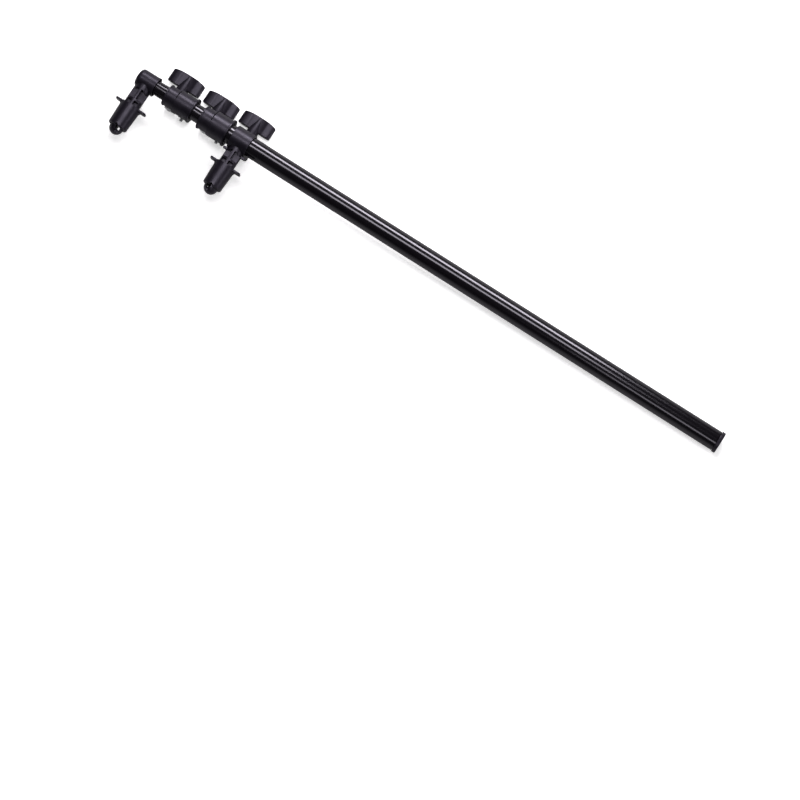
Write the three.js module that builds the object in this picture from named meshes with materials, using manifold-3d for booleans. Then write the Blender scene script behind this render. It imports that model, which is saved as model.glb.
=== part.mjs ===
// Telescopic reflector holder arm: three nested tubes, two clamp collars, a fixed clip at the tip
// and a clip that slides along the main tube. Millimetres, +Z up.
// X runs along the tubes from the butt end to the tip, the clips point along +Y, the knobs along -Y,
// and the clamp ears face down, along -Z. The origin is the centre of the butt cap's outer face.
import * as THREE from 'three';
import { mergeVertices } from 'three/addons/utils/BufferGeometryUtils.js';
import Module from 'manifold-3d';

// Fits shared by all pieces
const seatGap = 0.3;
const cutOverrun = 1;
const edgeRadius = 1;

// Tubes
const mainTubeRadius = 11;
const tubeWall = 1;
const tubeRunningGap = 0.5;
const midTubeRadius = mainTubeRadius - tubeWall - tubeRunningGap;
const innerTubeRadius = midTubeRadius - tubeWall - tubeRunningGap;
const mainTubeLength = 628.4;

// Butt cap and the guide bushes at the hidden tube ends
const buttCapLip = 0.9;
const buttCapThickness = 4;
const buttCapRounding = 1.4;
const plugLength = 12;
const plugWall = 1.6;
const bushHeadThickness = 2;
const bushSpigotLength = 8;
const bushWall = 1.5;
const bushRunningGap = 0.3;
const bushEndGap = 4.4;

// Clamp collars
const collarWall = 3.5;
const collarSmallWall = 3.4;
const collarBigLength = 21;
const collarInnerLip = 1;
const collarSlitWidth = 1;
const collarSmallLength = 12;
const flangeThickness = 1.8;
const flangeStep = 1.3;
const rimThickness = 1.6;
const rimStep = 0.9;
const bigEarInset = 3.6;
const bigEarWidth = 13.8;
const smallEarOverhang = 0.8;

// Clamp ears, shared by the collars and the sliding clip
const boltAxisDrop = 6.5;
const boltAxisDepth = mainTubeRadius + boltAxisDrop;
const earBeyondBolt = 7;
const earFrontDepth = boltAxisDepth + earBeyondBolt;
const earRootDepth = 4;
const collarEarReach = 9.4;
const collarEarGap = 4.7;
const slideEarReach = 11.7;
const slideEarGap = 4.4;
const slideEarWidth = 21.3;
const slideEarCorner = 1.8;
const earMarkRadius = 2.35;
const slideMarkRadius = 1.5;
const markDepth = 0.3;
const slideMarkInset = 3.2;

// Fasteners
const knobBoltRadius = 2.9;
const knobNutAcrossFlats = 10;
const knobNutHeight = 4.7;
const slideNutHeight = 3.9;
const knobNutPocketDepth = 4.2;
const knobBoltTipBeyondEar = 1.8;
const collarBoltRadius = 1.9;
const collarBoltHeadRadius = 3.75;
const collarBoltHeadHeight = 2.5;
const collarBoltTipBeyondEar = 4.6;
const collarNutAcrossFlats = 7;
const collarNutHeight = 3.2;
const washerRadius = 6.3;
const washerThickness = 1;
const slideNutFloor = 0.5;

// Wing knobs
const knobStemRadius = 6.5;
const knobStemLength = 6.4;
const knobWingSpan = 39;
const knobWingMidHeight = 16.6;
const knobWingCrown = 2.2;
const knobWingWaist = 5.4;
const knobWingBulge = 8.4;
const knobWingTip = 4;
const knobConeTopRadius = 2.4;
const knobBoreDepth = 14;

// Sliding clip's clamp ring and finger lugs
const slideRingWall = 2;
const slideRingRadius = mainTubeRadius + seatGap + slideRingWall;
const slideRingLength = 21.5;
const lugSpan = 27.2;
const lugThickness = 2.6;
const lugWidth = 5;
const lugHeight = 15;

// Tip cap
const tipCapWall = 2.45;
const tipCapRadius = innerTubeRadius + seatGap + tipCapWall;
const tipCapLength = 23;
const tipCapEndWall = 3;
const tipCapRounding = 2.4;
const tipCapRimWidth = 1.6;
const tipCapRimStep = 0.35;
const tipMouthGap = 1.3;
const tipMouthDepth = 3;
const tipStub = 14;

// Clip stem, measured along Y from the tube's axis
const sleeveTop = 30.8;
const stemRadius = 9.25;
const stemRootHeight = 5;
const stemPanelSlant = 3.7;
const stemCrossRibDrop = 6;
const stemCrossRibHeight = sleeveTop - stemCrossRibDrop;
const stemCrossRibThickness = 2.2;
const stemPanelHidden = 0.4;
const stemPanelEnd = sleeveTop + stemPanelHidden;
const stemHidden = 6;
const stemEnd = sleeveTop + stemHidden;
const stemRibThickness = 2.7;
const stemWebThickness = 3;
const stemSideWall = 2.4;
const stemShallowPanelDepth = 5.4;
const shankSocketDepth = 5;
const hookPinRadius = 1;
const hookPinLength = 15;

// Hook that the sleeve covers
const hookRadius = 7.85;
const hookProud = 8.5;
const hookShankRadius = 3;
const hookShankOffset = 3.4;
const hookTipWidth = 2.6;
const hookFootThickness = 5.4;
const hookEyeWidth = 5;
const hookPocketWidth = 5;
const hookPocketHeight = 2.6;
const hookPocketDepth = 4;
const hookPocketRib = 0.7;

// Springs
const clampSpringWire = 0.6;
const clampSpringClearance = 0.55;
const clampSpringRadius = knobBoltRadius + clampSpringClearance + clampSpringWire / 2;
const clampSpringCurls = 2.5;
const sleeveSpringWire = 0.8;
const sleeveSpringClearance = 0.2;
const sleeveSpringCurls = 4;

// Spring sleeve over the stem: bores for the stem, the spring, the shank and the hook, in that order
const sleeveLength = 27.9;
const sleeveBottom = sleeveTop + sleeveLength;
const sleeveTopWall = 2.3;
const sleeveBottomWall = 2;
const sleeveRounding = 0.8;
const sleeveStemGap = 0.35;
const sleeveBoreRadius = stemRadius + sleeveStemGap;
const sleeveTopRadius = sleeveBoreRadius + sleeveTopWall;
const sleeveHookGap = 1.05;
const sleeveMouthRadius = hookRadius + sleeveHookGap;
const sleeveBottomRadius = sleeveMouthRadius + sleeveBottomWall;
const sleeveMouthDepth = 2;
const sleeveLedgeThickness = 1.5;
const sleeveLedgeTop = sleeveBottom - sleeveMouthDepth - sleeveLedgeThickness;
const sleeveLedgeHoleRadius = hookShankOffset + hookShankRadius + seatGap;
const sleeveSpringRadius = sleeveLedgeHoleRadius + sleeveSpringClearance + sleeveSpringWire / 2;
const sleeveSpringBoreGap = 0.6;
const sleeveSpringBoreRadius = sleeveSpringRadius + sleeveSpringWire / 2 + sleeveSpringBoreGap;
const sleeveSpringBoreLength = 4;
const sleeveBoreEnd = sleeveLedgeTop - sleeveSpringBoreLength;
const hookBottom = sleeveBottom + hookProud;
const hookSeatHeight = hookBottom - hookFootThickness;
const tabSpan = 37;
const tabWidth = 12;
const tabThickness = 2.1;
const tabCorner = 3.5;
const tabFillet = 2.6;
const rimNotchWidth = 2.6;
const rimNotchHeight = 2.6;

// Places along X, worked out from the butt end
const wingGap = 5.3;
const ringGap = 5.55;
const collarStub = 11;
const collarBoreDepth = collarBigLength - collarInnerLip;
const collarLength = collarBigLength + collarSlitWidth + collarSmallLength;
const smallEarCentre = collarLength - collarSmallLength / 2;
const bigEarCentre = bigEarInset + bigEarWidth / 2;
const mainTubeStart = buttCapThickness + seatGap;
const mainTubeEnd = mainTubeStart + mainTubeLength;
const collar2Start = mainTubeEnd + seatGap - collarBoreDepth;
const collar1Start = collar2Start + Math.max(collarLength + collarStub, knobWingSpan + wingGap);
const slidePitch = Math.max(smallEarCentre + slideRingLength / 2 + ringGap, knobWingSpan + wingGap);
const slideClipCentre = collar2Start + smallEarCentre - slidePitch;
const tipCapStart = collar1Start + collarLength + tipStub;
const bushReach = bushHeadThickness + seatGap;
const midTubeStart = buttCapThickness + plugLength + bushEndGap + bushReach;
const midTubeEnd = collar1Start + collarBoreDepth - seatGap;
const midTubeLength = midTubeEnd - midTubeStart;
const innerTubeStart = midTubeStart + bushSpigotLength + bushEndGap + bushReach;
const innerTubeEnd = tipCapStart + tipCapLength - tipCapEndWall - seatGap;
const innerTubeLength = innerTubeEnd - innerTubeStart;

// Counts
const tubeFacets = 40;
const clipFacets = 32;
const smallFacets = 16;
const arcSteps = 4;
const coilSteps = 8;
const coilSides = 5;

const wasm = await Module();
wasm.setup();

// Solids

// A three.js geometry as a closed solid, faces turned outwards
function solidOf(geometry) {
  const bare = geometry.clone();
  bare.deleteAttribute('normal');
  bare.deleteAttribute('uv');
  const merged = mergeVertices(bare);
  const points = merged.attributes.position;
  const corners = [new THREE.Vector3(), new THREE.Vector3(), new THREE.Vector3()];
  const triangles = [];
  let volume = 0;
  for (let i = 0; i < merged.index.count; i += corners.length) {
    const face = corners.map((corner, k) => merged.index.getX(i + k));
    if (new Set(face).size < corners.length) continue;
    triangles.push(face);
    face.forEach((index, k) => corners[k].fromBufferAttribute(points, index));
    volume += corners[0].dot(corners[1].clone().cross(corners[2]));
  }
  if (volume < 0) triangles.forEach((face) => face.reverse());
  return new wasm.Manifold(new wasm.Mesh({
    numProp: 3,
    vertProperties: new Float32Array(points.array),
    triVerts: new Uint32Array(triangles.flat()),
  }));
}

function geometryOf(solid) {
  const mesh = solid.getMesh();
  const geometry = new THREE.BufferGeometry();
  geometry.setAttribute('position', new THREE.BufferAttribute(new Float32Array(mesh.vertProperties), 3));
  geometry.setIndex(new THREE.BufferAttribute(new Uint32Array(mesh.triVerts), 1));
  geometry.computeVertexNormals();
  return geometry;
}

// A box between two corners
function block(low, high) {
  const size = low.map((value, k) => high[k] - value);
  const middle = low.map((value, k) => (high[k] + value) / 2);
  return solidOf(new THREE.BoxGeometry(...size).translate(...middle));
}

// A profile of [along, radius] points turned about X
function turnedAboutX(profile, facets) {
  const points = profile.map(([along, radius]) => new THREE.Vector2(radius, along));
  return solidOf(new THREE.LatheGeometry(points, facets).rotateZ(-Math.PI / 2));
}

// A profile of [along, radius] points turned about Y
function turnedAboutY(profile, facets) {
  const points = profile.map(([along, radius]) => new THREE.Vector2(radius, along));
  return solidOf(new THREE.LatheGeometry(points, facets));
}

function rodAlongX(radius, from, to, facets) {
  return turnedAboutX([[from, 0], [from, radius], [to, radius], [to, 0]], facets);
}

function rodAlongY(radius, from, to, facets, x = 0, z = 0) {
  return turnedAboutY([[from, 0], [from, radius], [to, radius], [to, 0]], facets).translate(x, 0, z);
}

function rodAlongZ(radius, from, to, facets, x, y) {
  const rod = new THREE.CylinderGeometry(radius, radius, to - from, facets).rotateX(Math.PI / 2);
  return solidOf(rod.translate(x, y, (from + to) / 2));
}

// A hexagonal prism along Y with two flats square to X
function hexAlongY(acrossFlats, from, to, x, z) {
  const cornerRadius = acrossFlats / 2 / Math.cos(Math.PI / 6);
  const prism = new THREE.CylinderGeometry(cornerRadius, cornerRadius, to - from, 6);
  return solidOf(prism.translate(x, (from + to) / 2, z));
}

// A quarter arc of [along, radius] points from one angle to another
function arc(alongCentre, radiusCentre, radius, startAngle, endAngle) {
  const points = [];
  for (let i = 0; i <= arcSteps; i += 1) {
    const angle = startAngle + (endAngle - startAngle) * (i / arcSteps);
    points.push([alongCentre + radius * Math.cos(angle), radiusCentre + radius * Math.sin(angle)]);
  }
  return points;
}

// A rectangle in a plane with its corners rounded
function roundedRectangle(left, right, low, high, radius) {
  const shape = new THREE.Shape();
  shape.absarc(right - radius, low + radius, radius, -Math.PI / 2, 0);
  shape.absarc(right - radius, high - radius, radius, 0, Math.PI / 2);
  shape.absarc(left + radius, high - radius, radius, Math.PI / 2, Math.PI);
  shape.absarc(left + radius, low + radius, radius, Math.PI, Math.PI * 1.5);
  return shape;
}

// An XY outline drawn out along Z
function plateAlongZ(shape, from, to) {
  const options = { depth: to - from, bevelEnabled: false, curveSegments: arcSteps };
  return solidOf(new THREE.ExtrudeGeometry(shape, options).translate(0, 0, from));
}

// An outline of [x, z] drawn out along Y
function plateAlongY(shape, from, to) {
  const options = { depth: to - from, bevelEnabled: false, curveSegments: arcSteps };
  const plate = new THREE.ExtrudeGeometry(shape, options).rotateX(Math.PI / 2);
  return solidOf(plate.translate(0, to, 0));
}

function shapeOf(points) {
  return new THREE.Shape(points.map(([x, y]) => new THREE.Vector2(x, y)));
}

// Materials

const paint = {
  lacquer: { color: 0x060608, roughness: 0.18, metalness: 0.4 },
  plastic: { color: 0x141316, roughness: 0.55, metalness: 0 },
  zinc: { color: 0xb9bcc0, roughness: 0.3, metalness: 1 },
  copperedSteel: { color: 0x9c5a3c, roughness: 0.35, metalness: 1 },
};

const arm = new THREE.Group();

function addPiece(parent, name, solid, finish) {
  const mesh = new THREE.Mesh(geometryOf(solid), new THREE.MeshStandardMaterial(paint[finish]));
  mesh.name = name;
  parent.add(mesh);
  return mesh;
}

function groupAt(x) {
  const group = new THREE.Group();
  group.position.x = x;
  arm.add(group);
  return group;
}

// Tubes

function tube(radius, length) {
  const inside = radius - tubeWall;
  const start = [0, inside];
  return turnedAboutX([start, [0, radius], [length, radius], [length, inside], start], tubeFacets);
}

// The cap closes the butt end: a rounded head and a hollow plug inside the tube
function buttCap() {
  const buttCapRadius = mainTubeRadius + buttCapLip;
  const plugRadius = mainTubeRadius - tubeWall - seatGap;
  const plugEnd = buttCapThickness + plugLength;
  return turnedAboutX([
    [0, 0],
    ...arc(buttCapRounding, buttCapRadius - buttCapRounding, buttCapRounding, Math.PI, Math.PI / 2),
    [buttCapThickness, buttCapRadius],
    [buttCapThickness, plugRadius],
    [plugEnd, plugRadius],
    [plugEnd, plugRadius - plugWall],
    [buttCapThickness, plugRadius - plugWall],
    [buttCapThickness, 0],
  ], tubeFacets);
}

// A bush keeps the hidden end of a tube centred in the next one: head behind, spigot inside the tube
function guideBush(tubeRadius, outerTubeRadius) {
  const headRadius = outerTubeRadius - tubeWall - bushRunningGap;
  const spigotRadius = tubeRadius - tubeWall - seatGap;
  const bore = spigotRadius - bushWall;
  const headStart = -seatGap - bushHeadThickness;
  return turnedAboutX([
    [headStart, bore],
    [headStart, headRadius],
    [-seatGap, headRadius],
    [-seatGap, spigotRadius],
    [bushSpigotLength, spigotRadius],
    [bushSpigotLength, bore],
    [headStart, bore],
  ], tubeFacets);
}

// Clamp ears and their fasteners

// One pair of ears, above and below the split, reaching down from the ring
function earPair(left, right, reach, gap, corner) {
  const upper = roundedRectangle(left, right, -reach, -gap / 2, corner);
  const lower = roundedRectangle(left, right, gap / 2, reach, corner);
  return plateAlongZ(upper, -earFrontDepth, -earRootDepth)
    .add(plateAlongZ(lower, -earFrontDepth, -earRootDepth));
}

function splitSlot(left, right, gap, boreRadius) {
  const low = [left - cutOverrun, -gap / 2, -earFrontDepth - cutOverrun];
  return block(low, [right + cutOverrun, gap / 2, -boreRadius / 2]);
}

function earMark(x, y, radius) {
  return rodAlongZ(radius, -earFrontDepth - cutOverrun, -earFrontDepth + markDepth, smallFacets, x, y);
}

// A ring of metal along Y: a washer, or a nut when the outline is a hexagon
function pierced(outline, boreRadius, from, to, x) {
  const bore = rodAlongY(boreRadius, from - cutOverrun, to + cutOverrun, smallFacets, x, -boltAxisDepth);
  return outline.subtract(bore);
}

// An open coil along Y between two faces, its ends straight for one wire diameter
function coil(name, wire, radius, curls, from, to, x, z) {
  const start = from + seatGap;
  const rise = to - from - seatGap * 2 - wire * 2;
  const stepCount = Math.round(curls * coilSteps);
  const centres = [];
  const place = (turn, y) => {
    const angle = turn * Math.PI * 2;
    return new THREE.Vector3(radius * Math.cos(angle), y, radius * Math.sin(angle));
  };
  centres.push(place(0, start));
  for (let i = 0; i <= stepCount; i += 1) {
    centres.push(place(i / coilSteps, start + wire + rise * (i / stepCount)));
  }
  centres.push(place(stepCount / coilSteps, start + wire * 2 + rise));
  const vertices = [];
  centres.forEach((centre, i) => {
    const outward = new THREE.Vector3(centre.x, 0, centre.z).normalize();
    const before = centres[Math.max(i - 1, 0)];
    const after = centres[Math.min(i + 1, centres.length - 1)];
    const along = after.clone().sub(before).normalize();
    const side = new THREE.Vector3().crossVectors(along, outward).normalize();
    const up = new THREE.Vector3().crossVectors(side, along);
    for (let k = 0; k < coilSides; k += 1) {
      const angle = (k / coilSides) * Math.PI * 2;
      const offset = up.clone().multiplyScalar(Math.cos(angle)).addScaledVector(side, Math.sin(angle));
      vertices.push(...centre.clone().addScaledVector(offset, wire / 2).toArray());
    }
  });
  const faces = [];
  for (let i = 0; i < centres.length - 1; i += 1) {
    for (let k = 0; k < coilSides; k += 1) {
      const next = (k + 1) % coilSides;
      const a = i * coilSides + k;
      const b = i * coilSides + next;
      faces.push(a, b, b + coilSides, a, b + coilSides, a + coilSides);
    }
  }
  const last = (centres.length - 1) * coilSides;
  for (let k = 1; k < coilSides - 1; k += 1) {
    faces.push(0, k + 1, k, last, last + k, last + k + 1);
  }
  console.log(`${name}: least gap of the coil to itself ${leastSelfGap(centres, wire).toFixed(2)} mm`);
  const geometry = new THREE.BufferGeometry();
  geometry.setAttribute('position', new THREE.Float32BufferAttribute(vertices, 3));
  geometry.setIndex(faces);
  return solidOf(geometry).translate(x, 0, z);
}

// Least clear distance between stretches of wire that are more than half a curl apart
function leastSelfGap(centres, wire) {
  let least = Infinity;
  centres.forEach((centre, i) => {
    for (let j = i + coilSteps / 2; j < centres.length; j += 1) {
      least = Math.min(least, centre.distanceTo(centres[j]) - wire);
    }
  });
  return least;
}

// The wing knob with its bolt, washer, nut and spring, screwed through one pair of ears

function wingKnob(bottom, x) {
  const wingBottom = bottom - knobStemLength;
  const wingTop = wingBottom - knobWingMidHeight;
  const half = knobWingSpan / 2;
  const topRadius = half ** 2 / knobWingCrown / 2;
  const spread = Math.asin(half / topRadius);
  const face = new THREE.Shape();
  face.moveTo(-half, wingBottom);
  for (let i = -arcSteps; i <= arcSteps; i += 1) {
    const angle = spread * (i / arcSteps);
    face.lineTo(topRadius * Math.sin(angle), wingTop + topRadius * (1 - Math.cos(angle)));
  }
  face.lineTo(half, wingBottom);
  const plan = new THREE.Shape();
  plan.moveTo(0, knobWingWaist / 2);
  const lobe = [[half / 2, knobWingBulge / 2], [half, knobWingTip / 2]];
  plan.quadraticCurveTo(lobe[0][0] / 2, knobWingWaist / 2, ...lobe[0]);
  plan.quadraticCurveTo(half - knobWingTip / 2, knobWingBulge / 2, ...lobe[1]);
  plan.lineTo(half, -knobWingTip / 2);
  plan.quadraticCurveTo(half - knobWingTip / 2, -knobWingBulge / 2, half / 2, -knobWingBulge / 2);
  plan.quadraticCurveTo(half / 4, -knobWingWaist / 2, 0, -knobWingWaist / 2);
  plan.quadraticCurveTo(-half / 4, -knobWingWaist / 2, -half / 2, -knobWingBulge / 2);
  plan.quadraticCurveTo(-half + knobWingTip / 2, -knobWingBulge / 2, -half, -knobWingTip / 2);
  plan.lineTo(-half, knobWingTip / 2);
  plan.quadraticCurveTo(-half + knobWingTip / 2, knobWingBulge / 2, -half / 2, knobWingBulge / 2);
  plan.quadraticCurveTo(-half / 4, knobWingWaist / 2, 0, knobWingWaist / 2);
  const wing = plateAlongZ(face, -knobWingBulge, knobWingBulge)
    .intersect(plateAlongY(plan, wingTop - cutOverrun, wingBottom + cutOverrun));
  const stem = turnedAboutY([
    [bottom, 0],
    [bottom, knobStemRadius],
    [wingBottom, knobStemRadius],
    [wingTop + edgeRadius, knobConeTopRadius],
    [wingTop + edgeRadius, 0],
  ], clipFacets);
  const boreRadius = knobBoltRadius + seatGap;
  const bore = rodAlongY(boreRadius, bottom - knobBoreDepth, bottom + cutOverrun, smallFacets);
  return wing.add(stem).subtract(bore).translate(x, 0, -boltAxisDepth);
}

function addKnobSet(group, number, x, reach, gap, nutTop, nutHeight) {
  const washerBottom = -reach - seatGap;
  const washerTop = washerBottom - washerThickness;
  const knobBottom = washerTop - seatGap;
  const clearBore = knobBoltRadius + seatGap;
  const washer = rodAlongY(washerRadius, washerTop, washerBottom, clipFacets, x, -boltAxisDepth);
  const nut = hexAlongY(knobNutAcrossFlats, nutTop, nutTop + nutHeight, x, -boltAxisDepth);
  const bolt = rodAlongY(
    knobBoltRadius,
    knobBottom - knobBoreDepth + seatGap,
    reach + knobBoltTipBeyondEar,
    smallFacets,
    x,
    -boltAxisDepth,
  );
  addPiece(group, `knob_${number}`, wingKnob(knobBottom, x), 'plastic');
  addPiece(group, `knob_${number}_bolt`, bolt, 'zinc');
  addPiece(group, `knob_${number}_washer`, pierced(washer, clearBore, washerTop, washerBottom, x), 'zinc');
  addPiece(group, `knob_${number}_nut`, pierced(nut, clearBore, nutTop, nutTop + nutHeight, x), 'zinc');
  const spring = `knob_${number}_spring`;
  const coilSolid = coil(
    spring,
    clampSpringWire,
    clampSpringRadius,
    clampSpringCurls,
    -gap / 2,
    gap / 2,
    x,
    -boltAxisDepth,
  );
  addPiece(group, spring, coilSolid, 'copperedSteel');
}

// Clamp collar: the big section grips the end of the outer tube, the small one clamps the inner tube

function collar(outerTubeRadius, tubeInsideRadius) {
  const bigRadius = outerTubeRadius + collarWall;
  const smallRadius = tubeInsideRadius + collarSmallWall;
  const slitEnd = collarBigLength + collarSlitWidth;
  const bigBore = outerTubeRadius + seatGap;
  const smallBore = tubeInsideRadius + seatGap;
  const knobBore = knobBoltRadius + seatGap;
  const boltBore = collarBoltRadius + seatGap;
  const body = turnedAboutX([
    [0, 0],
    [0, bigRadius + flangeStep],
    [flangeThickness, bigRadius + flangeStep],
    [flangeThickness, bigRadius],
    [collarBigLength, bigRadius],
    [collarBigLength, smallRadius],
    [collarLength - rimThickness, smallRadius],
    [collarLength - rimThickness, smallRadius + rimStep],
    [collarLength, smallRadius + rimStep],
    [collarLength, 0],
  ], tubeFacets);
  const ears = earPair(bigEarInset, bigEarInset + bigEarWidth, collarEarReach, collarEarGap, edgeRadius)
    .add(earPair(slitEnd - smallEarOverhang, collarLength, collarEarReach, collarEarGap, edgeRadius));
  const slitLow = [collarBigLength, -bigRadius - cutOverrun, -bigRadius];
  const slit = block(slitLow, [slitEnd, 0, bigRadius + cutOverrun]);
  const through = (radius, x) => rodAlongY(
    radius,
    -collarEarReach - cutOverrun,
    collarEarReach + cutOverrun,
    smallFacets,
    x,
    -boltAxisDepth,
  );
  const headSeat = rodAlongY(
    collarBoltHeadRadius + seatGap,
    -collarEarReach - cutOverrun,
    -collarEarReach + collarBoltHeadHeight + seatGap,
    smallFacets,
    bigEarCentre,
    -boltAxisDepth,
  );
  const nutSeat = (acrossFlats, depth, x) => hexAlongY(
    acrossFlats + seatGap * 2,
    collarEarReach - depth,
    collarEarReach + cutOverrun,
    x,
    -boltAxisDepth,
  );
  const earMiddle = (collarEarReach + collarEarGap / 2) / 2;
  let solid = body.add(ears)
    .subtract(rodAlongX(bigBore, -cutOverrun, collarBoreDepth, tubeFacets))
    .subtract(rodAlongX(smallBore, 0, collarLength + cutOverrun, tubeFacets))
    .subtract(splitSlot(0, collarLength, collarEarGap, smallBore))
    .subtract(slit)
    .subtract(through(boltBore, bigEarCentre))
    .subtract(through(knobBore, smallEarCentre))
    .subtract(headSeat)
    .subtract(nutSeat(collarNutAcrossFlats, collarNutHeight + seatGap * 2, bigEarCentre))
    .subtract(nutSeat(knobNutAcrossFlats, knobNutPocketDepth, smallEarCentre));
  for (const x of [bigEarCentre, smallEarCentre]) {
    for (const y of [-earMiddle, earMiddle]) {
      solid = solid.subtract(earMark(x, y, earMarkRadius));
    }
  }
  return solid;
}

function addCollar(number, start, outerTubeRadius, tubeInsideRadius) {
  const group = groupAt(start);
  addPiece(group, `collar_${number}`, collar(outerTubeRadius, tubeInsideRadius), 'plastic');
  const headTop = -collarEarReach;
  const tip = collarEarReach + collarBoltTipBeyondEar;
  const bolt = rodAlongY(collarBoltHeadRadius, headTop, headTop + collarBoltHeadHeight, smallFacets)
    .add(rodAlongY(collarBoltRadius, headTop + edgeRadius, tip, smallFacets))
    .translate(bigEarCentre, 0, -boltAxisDepth);
  addPiece(group, `collar_${number}_bolt`, bolt, 'zinc');
  const nutTop = collarEarReach - collarNutHeight - seatGap;
  const nutEnd = nutTop + collarNutHeight;
  const nut = hexAlongY(collarNutAcrossFlats, nutTop, nutEnd, bigEarCentre, -boltAxisDepth);
  const nutBore = collarBoltRadius + seatGap;
  addPiece(group, `collar_${number}_nut`, pierced(nut, nutBore, nutTop, nutEnd, bigEarCentre), 'zinc');
  const knobNutTop = collarEarReach - knobNutPocketDepth + seatGap;
  addKnobSet(group, number, smallEarCentre, collarEarReach, collarEarGap, knobNutTop, knobNutHeight);
}

// Clip stem: a round bar cored out from above and below, leaving a web, a long rib and a cross rib.
// The pockets before the cross rib are open at the sides, and the others lie between side walls.

function stemCore(shallowSide, start) {
  const inner = stemRibThickness / 2;
  const walled = stemRadius - stemSideWall;
  const open = stemRadius + cutOverrun;
  const pocket = (outline, side, face, depth) => {
    const solid = plateAlongZ(shapeOf(outline), depth, stemRadius + cutOverrun);
    const turned = face > 0 ? solid : solid.mirror([0, 0, 1]);
    return side > 0 ? turned : turned.mirror([1, 0, 0]);
  };
  const pockets = [];
  const web = stemWebThickness / 2;
  const ribStart = stemCrossRibHeight - stemCrossRibThickness / 2;
  const ribEnd = stemCrossRibHeight + stemCrossRibThickness / 2;
  for (const face of [-1, 1]) {
    for (const side of [-1, 1]) {
      const depth = side === shallowSide ? stemRadius - stemShallowPanelDepth : web;
      const slanted = [[inner, start], [open, start + stemPanelSlant], [open, ribStart], [inner, ribStart]];
      const square = [[inner, ribEnd], [walled, ribEnd], [walled, stemPanelEnd], [inner, stemPanelEnd]];
      pockets.push(pocket(slanted, side, face, depth));
      pockets.push(pocket(square, side, face, web));
    }
  }
  return pockets.reduce((sum, next) => sum.add(next));
}

// The stem of a clip, its pockets starting just clear of the ring or cap that it stands on
function stem(outward, carrierRadius) {
  const shankX = outward * hookShankOffset;
  const bar = rodAlongY(stemRadius, stemRootHeight, stemEnd, clipFacets);
  const socket = rodAlongY(
    hookShankRadius + seatGap,
    stemEnd - shankSocketDepth,
    stemEnd + cutOverrun,
    smallFacets,
    shankX,
  );
  const pinHole = rodAlongZ(
    hookPinRadius + seatGap,
    -stemRadius - cutOverrun,
    stemRadius + cutOverrun,
    smallFacets,
    shankX,
    stemEnd - shankSocketDepth / 2,
  );
  const core = stemCore(outward, carrierRadius + seatGap);
  return bar.subtract(core).subtract(socket).subtract(pinHole);
}

// The sleeve, its finger tabs and the notches in its lower rim

function sleeve() {
  const ledgeEnd = sleeveLedgeTop + sleeveLedgeThickness;
  const half = tabSpan / 2;
  const round = sleeveRounding;
  const outside = turnedAboutY([
    [sleeveTop, 0],
    [sleeveTop, sleeveTopRadius],
    ...arc(sleeveBottom - round, sleeveBottomRadius - round, round, Math.PI / 2, 0),
    [sleeveBottom, 0],
  ], clipFacets);
  const inside = turnedAboutY([
    [sleeveTop - cutOverrun, 0],
    [sleeveTop - cutOverrun, sleeveBoreRadius],
    [sleeveBoreEnd, sleeveBoreRadius],
    [sleeveBoreEnd, sleeveSpringBoreRadius],
    [sleeveLedgeTop, sleeveSpringBoreRadius],
    [sleeveLedgeTop, sleeveLedgeHoleRadius],
    [ledgeEnd, sleeveLedgeHoleRadius],
    [ledgeEnd, sleeveMouthRadius],
    [sleeveBottom + cutOverrun, sleeveMouthRadius],
    [sleeveBottom + cutOverrun, 0],
  ], clipFacets);
  const tabPlan = roundedRectangle(-half, half, -tabWidth / 2, tabWidth / 2, tabCorner);
  const tabs = plateAlongY(tabPlan, sleeveTop, sleeveTop + tabThickness);
  const filletSize = sleeveTopRadius + tabFillet;
  const filletFoot = sleeveTop + tabThickness + tabFillet;
  const filletShape = new THREE.Shape();
  filletShape.moveTo(-filletSize, sleeveTop + edgeRadius);
  filletShape.lineTo(filletSize, sleeveTop + edgeRadius);
  filletShape.absarc(filletSize, filletFoot, tabFillet, -Math.PI / 2, -Math.PI, true);
  filletShape.lineTo(-filletSize + tabFillet, filletFoot);
  filletShape.absarc(-filletSize, filletFoot, tabFillet, 0, -Math.PI / 2, true);
  const fillets = plateAlongZ(filletShape, -tabWidth / 2 + tabCorner, tabWidth / 2 - tabCorner);
  const notchRadius = rimNotchWidth / 2;
  const notchTop = sleeveBottom - rimNotchHeight + notchRadius;
  const reach = sleeveTopRadius + cutOverrun;
  const notch = rodAlongZ(notchRadius, -reach, reach, smallFacets, 0, notchTop)
    .add(block([-notchRadius, notchTop, -reach], [notchRadius, sleeveBottom + cutOverrun, reach]));
  return outside.add(tabs).add(fillets).subtract(inside).subtract(notch);
}

// The hook: a shank on the outer side, a round foot, and a short tip across the eye

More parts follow.
